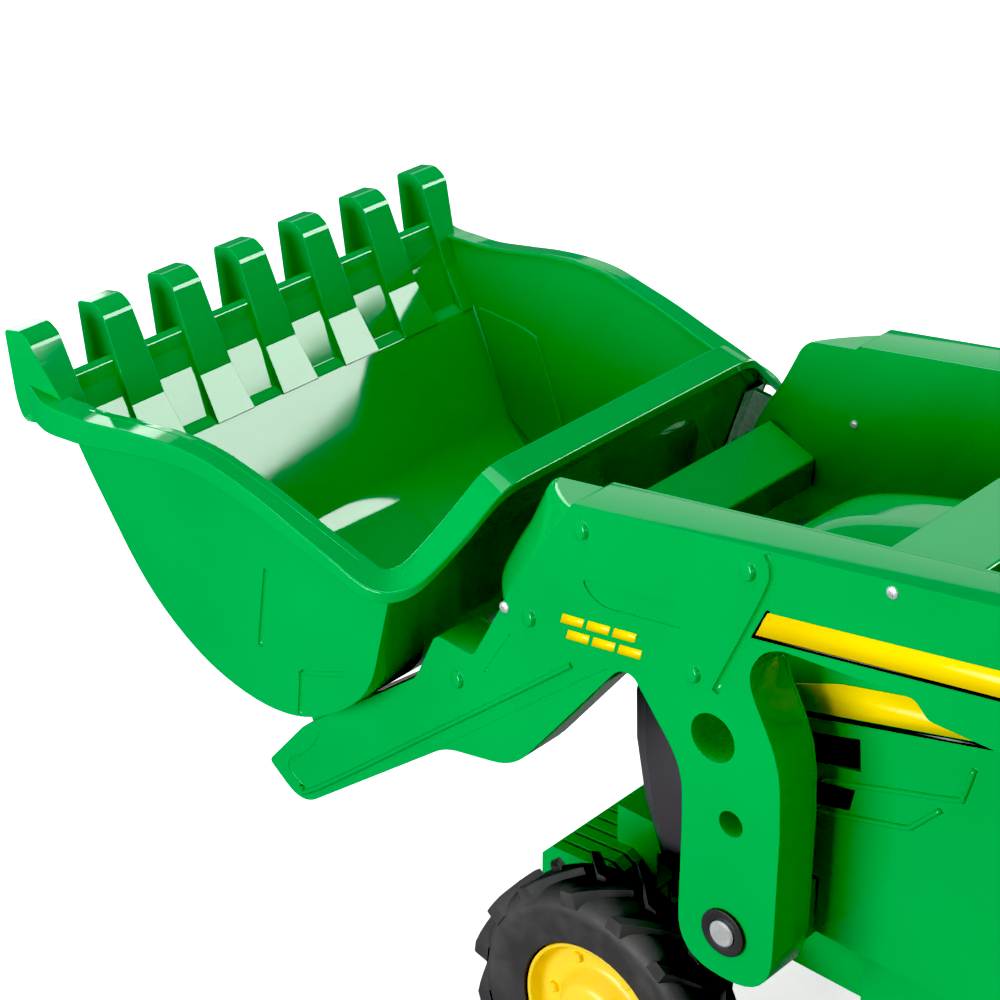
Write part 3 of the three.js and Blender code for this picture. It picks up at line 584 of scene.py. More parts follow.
GROOVES = [
    {"line": [(195, -3), (199, -18), (189, -43), (130, -137)], "radius": 3.8, "sunk": 0.8},
    {"line": [(-23, -151), (-200, -261), (-382, -373), (-400, -374)], "radius": 2.8, "sunk": 0.3},
    {"line": [(-400, -374), (-414, -362), (-412, -351), (-398, -342)], "radius": 1.6, "sunk": 0.4},
    {"line": [(16, -145), (-90, -210), (-190, -272)], "radius": 1.0, "sunk": 0.6},
    {"line": [(-182, -180), (-203, -216), (-210, -225), (-363, -310)], "radius": 1.2, "sunk": 0.5},
    {"line": [(-363, -310), (-378, -328), (-398, -342)], "radius": 1.2, "sunk": 0.5},
    {"line": [(-91, -139), (-128, -184)], "radius": 1.0, "sunk": 0.5},
]


# Stations down the nose: u, v on the outer seam, then u, v on the inner edge.
NOSE = [
    (0, -5, -62, -5),
    (-25, -35, -90, -47),
    (-52, -66, -113, -76),
    (-86, -104, -132, -108),
    (-97, -118, -112, -122),
]
NOSE_ROUND = 9
# Across the nose, from the outer seam to the inner edge: the share of the way, and x.
NOSE_FRONT = [
    (0.04, ARM_OUT - 1.2),
    (0.30, ARM_INNER + 37),
    (0.56, ARM_INNER + 27),
    (0.78, ARM_INNER + 17),
    (0.93, ARM_INNER + 8),
    (1.0, ARM_INNER + 1),
]


def arm_nose():
    """The front face of the side frame: it sweeps inward and forward from the outer seam."""
    first, second = NOSE[:2]
    round_top = []
    for k in range(5):
        angle = math.pi / 2 * k / 4
        depth = NOSE_ROUND * (1 - math.cos(angle))
        shift = NOSE_ROUND * (1 - math.sin(angle))
        t = depth / (first[1] - second[1])
        su, sv, iu, iv = (a + (b - a) * t for a, b in zip(first, second))
        round_top.append((su + shift * 0.4, sv, iu + shift, iv))
    sections = []
    for su, sv, iu, iv in [*round_top, *smooth_line(NOSE, 8)[3:]]:

        def at(t, x):
            return (x, *arm_point(su + (iu - su) * t, sv + (iv - sv) * t))

        sections.append(
            [at(-0.2, ARM_INNER), at(1.0, ARM_INNER)]
            + [at(t, x) for t, x in reversed(NOSE_FRONT)]
            + [at(-0.2, ARM_OUT - 1.2)]
        )
    return sections


def raised_boss(u, v):
    """A round boss: flush on its front edge and proud on its rear edge."""
    y, z = arm_point(u, v)
    lean = Vector((1, -0.34, 0.10)).normalized()
    profile = [(0, -4), (9.4, -4), (9.2, 0.6), (8.6, 1.5), (7.4, 2.0), (0, 2.2)]
    return turned("boss", profile, (ARM_OUT, y, z), lean, 48)


def groove(line, radius, sunk):
    """A cutter for a rounded groove in the side frame's outer face."""
    route = [(ARM_OUT + sunk, *arm_point(u, v)) for u, v in smooth_line(line, 6)]
    return tube("groove", route, radius, 10)


def arm_piece():
    """The left side frame with its holes, pill-shaped field and grooves."""
    corners = [*ARM_FRONT, *LOWER_ARM, *ARM_TIP, *UNDERSIDE]
    outline = rounded(
        [*arm_corners(corners), *POST_END, *arm_corners([*POST_REAR, *REAR_ARM])], 8
    )
    body = plate_x("arm_left", outline, ARM_INNER, ARM_OUT)
    tools = []
    for u, v, radius in HOLES:
        y, z = arm_point(u, v)
        tools.append(drill("hole", (ARM_INNER + 4, y, z), (ARM_OUT + 2, y, z), radius))
    tools.append(drill("way", (ARM_INNER - 2, *PIVOT), (ARM_OUT + 2, *PIVOT), BUSH_WAY_R))
    tools.append(plate_x("pill", rounded(arm_corners(PILL), 6), ARM_OUT - 1.5, ARM_OUT + 2))
    combined(body, tools)
    settled(softened(body, 2.6, 4, 35))
    combined(body, [groove(**g) for g in GROOVES])
    return flat_sided(creased(body, 40))


def make_arms():
    arm = arm_piece()
    nose = softened(skin("arm_nose_left", arm_nose()), 4.5, 4, 40)
    bosses = creased(merged("arm_bosses_left", [raised_boss(u, v) for u, v in BOSSES]), 50)
    finished(mirror(arm, "arm_right"), "loader", "green_shell", "arm_right_shell")
    finished(arm, "loader", "green_shell", "arm_left_shell")
    for left, right in ((nose, "arm_nose_right"), (bosses, "arm_bosses_right")):
        finished(mirror(left, right), "loader", "green_shell")
        finished(left, "loader", "green_shell")
    for side, word in ((1, "left"), (-1, "right")):
        refined(f"arm_{word}_cover", 0.8)
        for i, (u, v) in enumerate(ARM_SCREWS):
            at = (side * ARM_OUT, *arm_point(u, v))
            pan_head(f"arm_screw_{word}_{i + 1}", at, (side, 0, 0), "loader")
        for i, (y, z) in enumerate(COVER_SCREWS):
            at = (side * ARM_IN, y, z)
            pan_head(f"cover_screw_{word}_{i + 1}", at, (-side, 0, 0), "loader", 4.2)


def decal(name, corners, x, thickness, material, slot, body):
    """A printed foil on a side face."""
    foil = plate_x(name, rounded(corners, 3), x, x + thickness)
    return finished(foil, body, slot, material=material)


STRIPE = [(177, -75, 0.8), (191, -53, 0.8), (500, -49, 0.8), (492, -71, 0.8)]
STRIPE_SHADOW = [(172, -78.5, 0.8), (190, -51, 0.8), (193.4, -51, 0.8)]
STRIPE_SHADOW += [(178.5, -75, 0.3), (492, -71, 0.3), (490, -74, 0.5)]
# The block mark: two rows of three slanted bars.
MARK_START = (-26, -104)
MARK_STEP = 28
MARK_ROW = 14
MARK_LONG = 24
MARK_HIGH = 9
MARK_LEAN = 4


def make_arm_decals():
    """A plain yellow stripe with its dark edge, and a plain block mark, with no lettering."""
    for side, word in ((1, "left"), (-1, "right")):
        x = ARM_OUT if side > 0 else -ARM_OUT - FOIL
        stripe = arm_corners(STRIPE)
        shadow = arm_corners(STRIPE_SHADOW)
        yellow = (YELLOW_PRINT, "yellow_plastic", "loader")
        decal(f"arm_stripe_{word}", stripe, x, FOIL, *yellow)
        edge = f"arm_stripe_edge_{word}"
        decal(edge, shadow, x, EDGE_FOIL, BLACK_PRINT, "black_plastic", "loader")
        for row in range(2):
            for i in range(3):
                u = MARK_START[0] + i * MARK_STEP + row * MARK_LEAN
                v = MARK_START[1] - row * MARK_ROW
                bar = [
                    (u - MARK_LEAN, v - MARK_HIGH, 1),
                    (u, v, 1),
                    (u + MARK_LONG, v, 1),
                    (u + MARK_LONG - MARK_LEAN, v - MARK_HIGH, 1),
                ]
                name = f"arm_mark_{word}_{row * 3 + i + 1}"
                decal(name, arm_corners(bar), x, MARK_FOIL, *yellow)


# ---- loader fittings
HANDLE_AT = (ARM_END - 40, 3.2)
HANDLE_IN = 24.5
STEM = 108
STEM_LEAN = 14


def grip_ridges(count, start, ridge):
    """The ridges of a hand grip: (radius, height) pairs for each, 11 mm apart."""
    return [(r, start + k * 11 + h) for k in range(count) for r, h in ridge]


def make_lift_handles():
    for side, word in ((1, "left"), (-1, "right")):
        x = side * (ARM_OUT - HANDLE_IN)
        y, z = arm_point(*HANDLE_AT)
        lean = Vector((0, -STEM_LEAN, STEM)).normalized()
        foot = Vector((x, y, z + 4))

        def at(d):
            return tuple(foot + lean * d)

        flange = [(0, 0), (15.5, 0), (17, 1.2), (17, 4.8), (15.5, 6), (11, 6.4), (0, 6.4)]
        parts = [
            turned("flange", flange, (x, y, z), (0, 0, 1), 48),
            rod("stem", at(0), at(STEM), 9, 1.0, 40),
        ]
        stem = creased(merged(f"lift_stem_{word}", parts))
        finished(stem, "loader", "zinc_steel", f"lift_handle_{word}")
        profile = [(9.4, 22), (13.2, 22), (14.2, 23)]
        profile += grip_ridges(8, 28, [(14.4, 0), (12.9, 2.2), (12.9, 6), (14.4, 8)])
        profile += [(14.2, 119), (11.5, 122), (0, 122.6), (0, 113), (9.4, 112)]
        grip = creased(turned(f"lift_handle_grip_{word}", profile, foot, lean, 48), 50)
        finished(grip, "loader", "black_plastic", f"lift_grip_{word}")


def make_loader_fittings():
    refined("front_cross_panel", 1.2)
    refined("rear_cross_plate", 1.2)
    refined("tilt_lever_bracket", 0.8)
    refined("bucket_tilt_bracket", 0.6)
    refined("tilt_lever", 1.4, 3)
    pivot = rod("pivot_tube", (-ARM_OUT - 6, *PIVOT), (ARM_OUT + 6, *PIVOT), PIVOT_TUBE_R, 1.5, 56)
    finished(pivot, "tractor", "zinc_steel", "loader_pivot_tube")
    hinge = rod("hinge_rod", (-ARM_OUT + 8, *HINGE), (ARM_OUT - 8, *HINGE), HINGE_R, 1.0, 40)
    finished(hinge, "loader", "zinc_steel", "bucket_hinge_rod")
    for side, word in ((1, "left"), (-1, "right")):
        profile = [
            (PIVOT_TUBE_R + 0.35, 173),
            (15.9, 173),
            (15.9, ARM_OUT + 0.4),
            (21.4, ARM_OUT + 0.4),
            (22, ARM_OUT + 1),
            (22, ARM_OUT + 3.2),
            (21, ARM_OUT + 4),
            (14, ARM_OUT + 4),
            (PIVOT_TUBE_R + 0.35, ARM_OUT + 3),
        ]
        bush = creased(turned(f"bush_{word}", profile, (0, *PIVOT), (side, 0, 0), 64))
        finished(bush, "loader", "black_plastic", f"pivot_bush_{word}")


# ---- tilt lever and rod
LEVER = (60, 400)
LEVER_X = -236
ROD_X = -249
LINK = (-292, 528)
REACH = Vector((LINK[0] - HINGE[0], LINK[1] - HINGE[1]))
LEVER_PIN = (LEVER[0] + REACH.x, LEVER[1] + REACH.y)
LEVER_LENGTH = REACH.length + 60


def lever_at(distance):
    """A point on the tilt lever, a distance from its pivot."""
    along = REACH.normalized()
    return (LEVER_X, LEVER[0] + along.x * distance, LEVER[1] + along.y * distance)


def make_tilt_gear():
    bar = rod("bar", (ROD_X, *LINK), (ROD_X, *LEVER_PIN), 5, 0.5, 32)
    pins = [
        rod("pin", (ROD_X - 5, *at), (LEVER_X + 9, *at), 4, 0.8, 32) for at in (LINK, LEVER_PIN)
    ]
    eyes = [
        rod("eye", (ROD_X - 5.5, *at), (ROD_X + 5.5, *at), 8, 1.2, 32) for at in (LINK, LEVER_PIN)
    ]
    push = creased(merged("push_rod", [bar, *pins, *eyes]))
    finished(push, "push_rod", "zinc_steel", "tilt_push_rod")
    profile = [(6.4, 1), (12.2, 1), (13, 2)]
    profile += grip_ridges(6, 8, [(13.4, 0), (12.3, 2), (12.5, 6), (13.7, 8)])
    profile += [(14.6, 78), (14.4, 83), (11, 86), (0, 86.4), (0, 73), (6.4, 72)]
    start = lever_at(LEVER_LENGTH)
    lean = (0, REACH.x, REACH.y)
    grip = creased(turned("lever_grip", profile, start, lean, 48), 50)
    finished(grip, "tilt_handle", "yellow_plastic", "tilt_lever_grip")


# ---- bucket
def bucket_half(z):
    """Half width of the side walls at a height."""
    return WALL_FOOT_HALF + ((z - WALL_FOOT_Z) / WALL_RISE) * WALL_SPREAD


BELLY = [
    (-757, 588, 2),
    (-718, 508, 16),
    (-668, 418, 40),
    (-634, 380, 30),
    (-588, 348, 30),
    (-540, 333, 30),
    (-494, 330, 30),
    (-450, 340, 26),
    (-408, 365, 26),
    (-374, 394, 20),
    (-352, 425, 26),
    (-315, 543.5, 0),
    (-287.5, 624, 0),
    (-293, 625, 0),
]
# Stations of the rim: inner edge x, y, z, then the way out to the outer edge, then the depth.
SIDE_RIM = [
    (256, -778, 592, 24, 0, -2, 34),
    (261, -752, 580, 23, 0, -2, 30),
    (262, -716, 580, 22, 0, -2, 28),
    (262, -685, 582, 21, 0, -2, 26),
    (262, -640, 590, 21, 0, -2, 24),
    (263, -599, 597, 21, 0, -2, 22),
    (263, -557, 601, 21, 0, -2, 20),
    (263, -522, 600, 21, 0, -2, 19),
    (262, -486, 593, 21, 0, -2, 18),
    (261, -447, 584, 22, 0, -2, 17),
    (260, -403, 571, 23, 0, -2, 16),
    (259, -365, 560, 24, 1, -2, 14),
    (258, -345, 554, 25, 3, -3, 13),
    (257, -333, 551, 24, 12, -4, 12),
    (250, -323, 553, 20, 20, -6, 11),
    (238, -314, 563, 13, 25, -7, 10),
    (205, -303, 592, 8, 26, -7, 9),
    (176, -295, 619, 6, 26, -7, 9),
    (158, -292, 628, 2, 26, -7, 9),
    (120, -292, 629, 0, 26, -7, 9),
    (0, -292, 629, 0, 26, -7, 9),
]
# The side walls' upper edge runs along the rim's middle stations.
WALL_TOP = [(-322, 546), *[(y, z) for _, y, z, *_ in SIDE_RIM[11:2:-1]], (-744, 577)]
TUB_MIDDLE = Vector((-530, 560))
WALL_GROOVES = [
    [(-477.6, 495), (-489, 448), (-500, 401)],
    [(-446, 395), (-451, 367), (-456, 342)],
    [(-446, 395), (-420, 404.5), (-390, 418)],
]


def wall_groove(side, line):
    """A cutter for a shallow groove in the bucket's outer side wall."""
    route = [(side * (bucket_half(z) + 0.9), y, z) for y, z in smooth_line(line, 5)]
    return tube("groove", route, 3.2, 14)


def leaning(name, outline, inset, corner):
    """A solid with the outline in (y, z) whose sides lean out, its long edges rounded."""
    sections = [
        [(side * (bucket_half(z) - inset), y, z) for y, z in outline] for side in (-1, 1)
    ]
    made = skin(name, sections)
    softened(made, corner, 5, 50)
    made.modifiers[0].harden_normals = False
    return settled(made)


def bucket_tub():
    """The bucket's shell, with its inside and the two cut shoulders at its back."""
    belly = rounded(BELLY, 8)
    rim = smooth_line(WALL_TOP, 4)
    outer = leaning("bucket_tub", [*belly, *[Vector(p) for p in rim]], 0, 9)
    inset = []
    for y, z, radius in BELLY:
        away = Vector((y, z)) - TUB_MIDDLE
        near = 1 - (BUCKET_WALL * 1.15) / away.length
        inset.append((TUB_MIDDLE.x + away.x * near, TUB_MIDDLE.y + away.y * near, radius))
    inset[0] = (-804, 679, 0)
    inset[1] = (-713, 514, 1)
    inset[11] = (-320, 545, 0)
    inset[12] = (-292.5, 629, 0)
    inset[13] = (-292.5, 760, 0)
    inset[2:3] = [(-702, 508.5, 2), (-650, 421, 40)]
    room = leaning("room", rounded([*inset, (-804, 760, 0)], 8), BUCKET_WALL, 7)
    shoulders = []
    for side in (-1, 1):
        edge = [(side * 163, 618), (side * 340, 489.5), (side * 340, 700), (side * 163, 700)]
        shoulders.append(skin("shoulder", [[(x, y, z) for x, z in edge] for y in (-345, -270)]))
    tub = settled(softened(combined(outer, [room, *shoulders]), 0.8, 2, 40))
    combined(tub, [wall_groove(side, line) for side in (-1, 1) for line in WALL_GROOVES])
    return flat_sided(creased(tub, 35), 0.99)


RIM_TUCK = 0.75
RIM_THICK = Vector((0, 0, -5))


def bucket_rim():
    """The turned-over rim, one band from the left front corner round the back to the right."""
    left = smooth_line(SIDE_RIM, 5)
    right = [(-x, y, z, -ox, oy, oz, depth) for x, y, z, ox, oy, oz, depth in left[-2::-1]]
    sections = []
    for x, y, z, ox, oy, oz, depth in [*left, *right]:
        inner = Vector((x, y, z))
        out = Vector((ox, oy, oz))
        down = Vector((0, 0, -depth))
        wall = out.normalized() * BUCKET_WALL
        sections.append(
            [
                tuple(inner - wall * RIM_TUCK),
                tuple(inner + out),
                tuple(inner + out + down),
                tuple(inner + out + down - wall),
                tuple(inner + out - wall + RIM_THICK),
                tuple(inner - wall * RIM_TUCK + RIM_THICK),
            ]
        )
    rim = skin("bucket_rim", sections)
    return softened(rim, 2.6, 4, 38)


TOOTH = [
    (-803, 637, 5),
    (-779, 642, 6),
    (-765.5, 634, 6),
    (-728, 550, 0.5),
    (-700, 508, 1),
    (-716, 500, 1),
    (-728, 530, 4),
    (-744, 543, 5),
    (-784, 552, 8),
    (-792, 572, 8),
]
LIP = [
    (-759, 596, 3),
    (-751, 593, 3),
    (-746.2, 577.5, 1),
    (-735, 553, 0),
    (-740, 553, 1),
    (-757, 585, 1),
]
LIP_HALF = 262
# A tooth narrows above TIP_Z and its strap widens below STRAP_Z, by these shares of the height.
TIP_Z, TIP_TAPER = 560, 0.035
STRAP_Z, STRAP_SPREAD = 556, 0.085
STRAP_Y = -752
LUG_X = 158
LUG_HALF = 5


def tooth(i):
    """A tooth with the strap that runs down from it; the end ones stop at the side walls."""
    x = TOOTH_PITCH * ((TEETH - 1) / 2 - i)
    half = TOOTH_WIDTH / 2
    outline = rounded(TOOTH, 5)

    def reach(side, y, z):
        wide = half - max(0, z - TIP_Z) * TIP_TAPER + max(0, STRAP_Z - z) * STRAP_SPREAD
        wall = bucket_half(z) - 1 if y > STRAP_Y and z < STRAP_Z else math.inf
        return max(-wall, min(wall, x + side * wide))

    sections = [[(reach(side, y, z), y, z) for y, z in outline] for side in (-1, 1)]
    made = skin(f"bucket_tooth_{i + 1}", sections)
    return softened(made, 2.8, 4, 40)


def make_bucket():
    finished(bucket_tub(), "bucket", "green_shell", "bucket_shell")
    finished(bucket_rim(), "bucket", "green_shell")
    for i in range(TEETH):
        finished(tooth(i), "bucket", "green_shell")
    lip = softened(plate_x("bucket_lip", rounded(LIP, 4), -LIP_HALF, LIP_HALF), 1.2, 3, 40)
    finished(lip, "bucket", "green_shell")
    for side, word in ((1, "left"), (-1, "right")):
        outline = [
            (HINGE[0] - 20, HINGE[1] - 16, 14),
            (HINGE[0] + 20, HINGE[1] - 16, 14),
            (HINGE[0] + 58, 344, 4),
            (HINGE[0] - 60, 342, 4),
        ]
        x = side * LUG_X
        lug = plate_x(f"bucket_lug_{word}", rounded(outline, 8), x - LUG_HALF, x + LUG_HALF)
        bore = HINGE_R + GAP
        combined(lug, [drill("bore", (side * 140, *HINGE), (side * 175, *HINGE), bore, 32)])
        finished(softened(lug, 1.2), "bucket", "green_shell")
        make_wall_panel(side, word)


WALL_PANEL = [
    (-694, 512, 6),
    (-634, 509, 4),
    (-608, 503, 4),
    (-556, 400, 8),
    (-585, 372, 8),
    (-640, 402, 12),
]


def make_wall_panel(side, word):
    """The raised field on the inside of a side wall."""
    outline = rounded(WALL_PANEL, 6)
    sections = []
    for inset in (BUCKET_WALL - 1, BUCKET_WALL + 2.2):
        sections.append([(side * (bucket_half(z) - inset), y, z) for y, z in outline])
    panel = skin(f"bucket_wall_panel_{word}", sections)
    finished(softened(panel, 1.8, 3, 40), "bucket", "green_shell")


# ---- hood and nose
# Stations of the hood: y, then the heights of its side edge, its crease and its top.
HOOD = [
    (-88, 512, 552, 577),
    (-60, 520, 576, 608),
    (-20, 532, 592, 630),
    (60, 556, 616, 652),
    (150, 586, 640, 668),
    (264, 600, 654, 680),
]
VENTS = [
    [(18, 487, 1), (85, 508, 1), (88, 478, 1), (34, 464, 1)],
    [(40, 448, 1), (84, 458, 1), (80, 436, 1), (42, 426, 1)],
]
HOOD_RIBS = [
    [(50, 452), (120, 475), (178, 494), (184, 500), (191, 529)],
    [(44, 419), (100, 436), (134, 446), (142, 452), (165, 478)],
]
HOOD_STRIPE = [
    (28, 511, 1),
    (11, 529, 1),
    (62, 551, 6),
    (141, 571, 10),
    (232, 583, 4),
    (214, 561, 6),
]
HOOD_STRIPE_EDGE = [(28, 506, 0.5), (27, 510, 0.5), (213, 560, 0.5), (216, 556, 0.5)]
HOOD_WALL = 4


def hood_section(y, side, crease, top, inset, sill):
    """One section of the hood, or of the room inside it where inset is its wall."""
    half = HOOD_HALF - inset
    right = [
        (half, sill, 0),
        (half, side - inset, 16),
        (88, crease - inset, 5),
        (40, top - 5 - inset, 24),
    ]
    left = [(-x, z, r) for x, z, r in reversed(right)]
    return [(x, y, z) for x, z in rounded([*right, *left], 6)]


def make_hood():
    """The hood with its vents, ribs and stripes, hollow and open below, and the nose grille."""
    stations = smooth_line(HOOD, 7)
    outer = skin("hood", [hood_section(*station, 0, 300) for station in stations])
    inside = [(max(-84, min(y, 300)), *rest) for y, *rest in stations]
    inside[-1] = (275, *inside[-1][1:])
    room = skin("room", [hood_section(*station, HOOD_WALL, 280) for station in inside])
    tools = [room]
    for corners in VENTS:
        for x0, x1 in ((HOOD_HALF - 8, HOOD_HALF + 2), (-HOOD_HALF - 2, -HOOD_HALF + 8)):
            tools.append(plate_x("vent", rounded(corners, 3), x0, x1))
    y = PIVOT[0]
    beam = [(y - 33, 250), (y + 33, 250), (y + 33, 355), (y - 33, 355)]
    tools.append(plate_x("beam way", [Vector(p) for p in beam], -HOOD_HALF - 5, HOOD_HALF + 5))
    tools.append(drill("shaft way", shaft_point(-60), shaft_point(-200), 11, 40))
    combined(outer, tools)
    softened(outer, 1.4, 2, 40)
    finished(creased(outer, 25), "tractor", "green_shell", "hood_shell")
    for side, word in ((1, "left"), (-1, "right")):
        refined(f"hood_vent_{word}", 0.8)
        x = side * (HOOD_HALF + 0.1)
        ribs = [
            tube("rib", [(x, *p) for p in smooth_line(line, 5)], 2.5, 14) for line in HOOD_RIBS
        ]
        finished(merged(f"hood_ribs_{word}", ribs), "tractor", "green_shell")
        x = HOOD_HALF if side > 0 else -HOOD_HALF - FOIL
        yellow = (YELLOW_PRINT, "yellow_plastic", "tractor")
        decal(f"hood_stripe_{word}", HOOD_STRIPE, x, FOIL, *yellow)
        black = (BLACK_PRINT, "black_plastic", "tractor")
        decal(f"hood_stripe_edge_{word}", HOOD_STRIPE_EDGE, x, EDGE_FOIL, *black)
    refined("nose_grille", 1.6, 3)


# ---- steering
def shaft_point(distance):
    """A point on the steering shaft's axis, measured up from the wheel's centre."""
    y = STEER_WHEEL["y"] + distance * math.sin(STEER_TILT)
    z = STEER_WHEEL["z"] + distance * math.cos(STEER_TILT)
    return (0, y, z)


def make_steering():
    """The steering wheel with three spokes and a hub, its cap and its shaft."""
    lean = Vector((0, math.sin(STEER_TILT), math.cos(STEER_TILT)))
    side = Vector((1, 0, 0))
    up = lean.cross(side)
    centre = Vector(shaft_point(0))
    radius = STEER_WHEEL["r"]

    def on_wheel(angle, r, lift=0.0):
        return tuple(centre + (side * math.cos(angle) + up * math.sin(angle)) * r + lean * lift)

    ring = [on_wheel(2 * math.pi * k / 96, radius) for k in range(96)]
    parts = [tube("rim", ring, 11, 20, close=True)]
    for degrees in (-90, 30, 150):
        angle = math.radians(degrees)
        across = (up * math.cos(angle) - side * math.sin(angle)).normalized()
        sections = []
        for k in range(9):
            t = k / 8
            r = 20 + (radius - 24) * t
            width = 17 - 7 * math.sin(math.pi * t)
            middle = Vector(on_wheel(angle, r))
            ring = []
            for m in range(16):
                turn = 2 * math.pi * m / 16
                ring.append(
                    tuple(middle + across * (width * math.cos(turn)) + lean * (5 * math.sin(turn)))
                )
            sections.append(ring)
        parts.append(skin("spoke", sections))
    hub = [(7.4, -33), (28, -33), (34, -28), (36, -14), (31, 10), (28, 12.8), (7.4, 12.8)]
    parts.append(turned("hub", hub, centre, lean, 64))
    wheel = creased(merged("wheel", parts), 45)
    finished(wheel, "steering", "black_plastic", "steering_wheel")
    cap = [(0, 13.4), (23.4, 13.4), (24, 14.2), (23, 16.6), (19, 18.2), (10, 19), (0, 19.2)]
    made = creased(turned("wheel_cap", cap, centre, lean, 64), 50)
    finished(made, "steering", "yellow_plastic", "steering_wheel_cap")
    shaft = merged(
        "shaft",
        [
            rod("long", shaft_point(-655), shaft_point(-6), 7, 1.0),
            rod("collar", shaft_point(-60), shaft_point(-34), 9.5, 1.0),
        ],
    )
    finished(creased(shaft), "steering", "zinc_steel", "steering_shaft")


# ---- wheels
def tyre_mesh(axle, lugs, lug_height):
    """A tractor tyre: a rounded carcass with slanted lugs from its middle to each shoulder."""
    r, inner, outer = axle["r"], axle["inner"], axle["outer"]
    base = r - lug_height
    bore = r * HUB_SHARE
    shoulder = r * 0.09
    middle = (inner + outer) / 2
    profile = rounded(
        [
            (bore, inner + 6, 2),
            (base - shoulder, inner, 8),
            (base, inner + shoulder, 10),
            (base + 1.5, middle, 30),
            (base, outer - shoulder, 10),
            (base - shoulder, outer, 8),
            (bore, outer - 6, 2),
        ],
        5,
    )
    origin = (0, axle["y"], axle["z"])
    parts = [turned("carcass", profile, origin, (1, 0, 0), 96)]
    half = (outer - inner) / 2
    for k in range(lugs):
        for side in (-1, 1):
            start = 2 * math.pi * (k + 0.25 * (side + 1)) / lugs
            sections = []
            for s in range(7):
                t = s / 6
                x = middle + side * (half - 1.5) * (t * 1.04 - 0.04)
                x = max(inner + 0.8, min(outer - 0.8, x))
                angle = start + 0.30 * t
                height = r - (2.0 * t + 6.0 * max(0, t - 0.8))
                wide = 5.2 / r + 1.6 / r * t
                ring = []
                for radius, spread in (
                    (base - 5 - 6 * t, 1.5),
                    (height - 1.0, 1.05),
                    (height, 0.85),
                    (height, -0.85),
                    (height - 1.0, -1.05),
                    (base - 5 - 6 * t, -1.5),
                ):
                    a = angle + wide * spread
                    y = axle["y"] + radius * math.cos(a)
                    z = axle["z"] + radius * math.sin(a)
                    ring.append((x, y, z))
                sections.append(ring)
            parts.append(skin("lug", sections))
    return parts


def hub_mesh(axle, bolts):
    """A dished wheel centre with a ring of bolt bumps."""
    r, inner, outer, bore = axle["r"], axle["inner"], axle["outer"], axle["bore"]
    rim = r * HUB_SHARE - 1
    profile = rounded(
        [
            (bore, inner + 4, 0),
            (rim * 0.45, inner + 4, 3),
            (rim - 6, inner + 20, 6),
            (rim - 2, inner + 8, 2),
            (rim, inner + 8, 1),
            (rim, outer - 8, 2),
            (rim - 4, outer - 8, 2),
            (rim - 9, outer - 22, 6),
            (rim * 0.62, outer - 24, 8),
            (rim * 0.46, outer - 5, 6),
            (rim * 0.30, outer - 3, 4),
            (bore, outer - 3, 0),
        ],
        5,
    )
    parts = [turned("dish", profile, (0, axle["y"], axle["z"]), (1, 0, 0), 80)]
    for k in range(bolts):
        angle = 2 * math.pi * k / bolts
        y = axle["y"] + rim * 0.74 * math.cos(angle)
        z = axle["z"] + rim * 0.74 * math.sin(angle)
        head = [(0, -4), (6, -4), (6, 3.5), (5, 4.6), (0, 4.8)]
        parts.append(turned("bolt", head, (outer - 23, y, z), (1, 0, 0), 6))
    return parts


def make_wheels():
    for axle, place, lugs, depth in ((FRONT_AXLE, "front", 15, 8), (REAR_AXLE, "rear", 17, 11)):
        tyre = creased(merged(f"{place}_tyre_treaded_left", tyre_mesh(axle, lugs, depth)), 40)
        hub = creased(merged(f"{place}_wheel_centre_left", hub_mesh(axle, 6)), 35)
        other_tyre = mirror(tyre, f"{place}_tyre_treaded_right")
        other_hub = mirror(hub, f"{place}_wheel_centre_right")
        for word, rubber, centre in (("left", tyre, hub), ("right", other_tyre, other_hub)):
            body = f"{place}_wheel_{word}"
            finished(rubber, body, "black_tyre", f"{place}_tyre_{word}")
            finished(centre, body, "yellow_plastic", f"{place}_hub_{word}")
    y, z = REAR_AXLE["y"], REAR_AXLE["z"]
    axle = rod("axle", (-REAR_AXLE_HALF, y, z), (REAR_AXLE_HALF, y, z), 8, 1.5, 48)
    finished(axle, "tractor", "zinc_steel", "rear_axle")
    half, y, z = TIE_ROD["half"], TIE_ROD["y"], TIE_ROD["z"]
    track = rod("track_rod_bar", (-half, y, z), (half, y, z), 5, 1.0, 40)
    finished(track, "track_rod", "zinc_steel", "tie_rod")


# ---- chassis and controls
# CAD nodes that keep their own shape: the width of their rounded edges, and its segments.
KEPT = {
    "chassis_body": (2.2, 3),
    "front_weight_block": (2.0, 3),
    "dashboard_console": (3.0, 4),
    "front_axle_beam": (1.5, 2),
    "knuckle_left": (0.8, 2),
    "knuckle_right": (0.8, 2),
    "gearbox_left": (2.0, 3),
    "gearbox_right": (2.0, 3),
    "battery": (3.0, 3),
    "seat_shell": (5.0, 5),
    "accelerator_pedal": (1.0, 2),
    "gear_lever": (1.0, 2),
    "tow_hitch": (1.2, 2),
}


def make_chassis():
    for node, (width, segments) in KEPT.items():
        refined(node, width, segments)


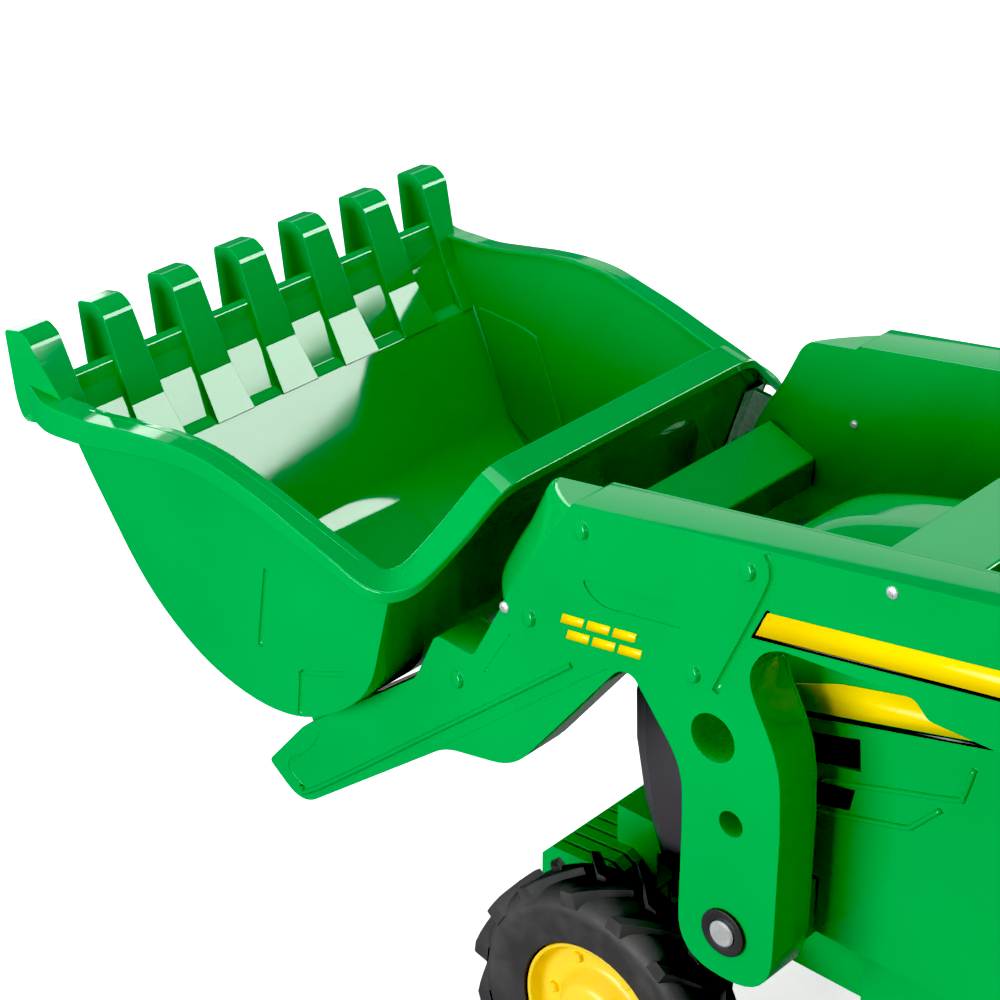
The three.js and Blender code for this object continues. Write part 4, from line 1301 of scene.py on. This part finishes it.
# ---- studio
# Each light: where it stands, where it aims, its size in metres and its power in watts.
LIGHTS = {
    "key": ((3.2, -0.6, 0.85), (0, -0.2, 0.55), (2.4, 1.3), 100),
    "overhead": ((0.2, -0.4, 3.6), (0, -0.2, 0.5), (2.6, 2.6), 58),
    "front card": ((-3.9, -3.25, 2.25), (0, 0, 0.68), (5.0, 1.5), 22),
    "back card": ((-1.43, 0.98, 1.70), (0, -0.70, 0.55), (1.25, 0.80), 48),
    "rear": ((0.6, 2.6, 1.2), (0, -0.3, 0.5), (1.5, 1.0), 8),
    "right side": ((-3.3, 0.2, 0.9), (0, 0, 0.45), (2.6, 1.3), 62),
    "nose side": ((-0.6, -3.6, 1.3), (0, 0, 0.45), (2.2, 1.2), 30),
}
# These only show in reflections, as white cards beside a glossy toy do.
CARDS = ("front card", "back card")


def softbox(name, place, target, size, power):
    """A rectangular soft light that aims at a point."""
    lamp = bpy.data.lights.new(name, "AREA")
    lamp.shape = "RECTANGLE"
    lamp.size, lamp.size_y = size
    lamp.energy = power
    box = bpy.data.objects.new(name, lamp)
    bpy.context.scene.collection.objects.link(box)
    box.location = place
    aim = Vector(target) - Vector(place)
    box.rotation_euler = aim.to_track_quat("-Z", "Y").to_euler()
    box.visible_diffuse = name not in CARDS


def make_backdrop():
    """A dim white world that looks pale where the camera sees it above the floor's end."""
    world = bpy.data.worlds.new("studio")
    bpy.context.scene.world = world
    world.use_nodes = True
    nodes, links = world.node_tree.nodes, world.node_tree.links
    background = nodes["Background"]
    background.inputs["Color"].default_value = (1, 1, 1, 1)
    path = nodes.new("ShaderNodeLightPath")
    glow = nodes.new("ShaderNodeMapRange")
    glow.inputs["To Min"].default_value = BACKDROP_LIGHT
    glow.inputs["To Max"].default_value = BACKDROP_SEEN
    links.new(path.outputs["Is Camera Ray"], glow.inputs["Value"])
    links.new(glow.outputs["Result"], background.inputs["Strength"])


def make_floor():
    """A plain pale floor that adds nothing to the object's reflections or shading."""
    corners = [(-FLOOR, -FLOOR, 0), (FLOOR, -FLOOR, 0), (FLOOR, FLOOR, 0), (-FLOOR, FLOOR, 0)]
    floor = build("floor", corners, [(0, 1, 2, 3)])
    n = Nodes("pale floor")
    tone = n.mix(n.spread(n.noise(3.0, 2.0), 0.0, 1.0), (0.90, 0.90, 0.90), (0.93, 0.93, 0.93))
    n.link(tone, n.shader.inputs["Base Color"])
    n.shader.inputs["Roughness"].default_value = 0.8
    n.shader.inputs["Specular IOR Level"].default_value = 0.2
    n.link(tone, n.shader.inputs["Emission Color"])
    n.shader.inputs["Emission Strength"].default_value = FLOOR_GLOW
    floor.data.materials.append(n.material)
    floor.visible_diffuse = False
    floor.visible_glossy = False


def make_studio():
    make_backdrop()
    for name, light in LIGHTS.items():
        softbox(name, *light)
    make_floor()
    view = bpy.context.scene.view_settings
    view.view_transform = "Standard"
    view.use_curve_mapping = True
    view.curve_mapping.black_level = (BLACK_LEVEL, BLACK_LEVEL, BLACK_LEVEL)


def make_camera():
    """The camera at the photo's viewing angle."""
    data = bpy.data.cameras.new("camera")
    camera = bpy.data.objects.new("camera", data)
    bpy.context.scene.collection.objects.link(camera)
    level = math.cos(CAMERA_ELEVATION)
    back = Vector(
        (
            math.sin(CAMERA_AZIMUTH) * level,
            -math.cos(CAMERA_AZIMUTH) * level,
            math.sin(CAMERA_ELEVATION),
        )
    )
    camera.location = CAMERA_PLACE
    camera.rotation_mode = "QUATERNION"
    camera.rotation_quaternion = (-back).to_track_quat("-Z", "Y")
    data.sensor_width = SENSOR
    data.lens = CAMERA_LENS
    data.clip_start, data.clip_end = CLIP
    bpy.context.scene.camera = camera


make_camera()
make_studio()
make_arms()
make_arm_decals()
make_lift_handles()
make_loader_fittings()
make_tilt_gear()
make_bucket()
make_hood()
make_steering()
make_wheels()
make_chassis()
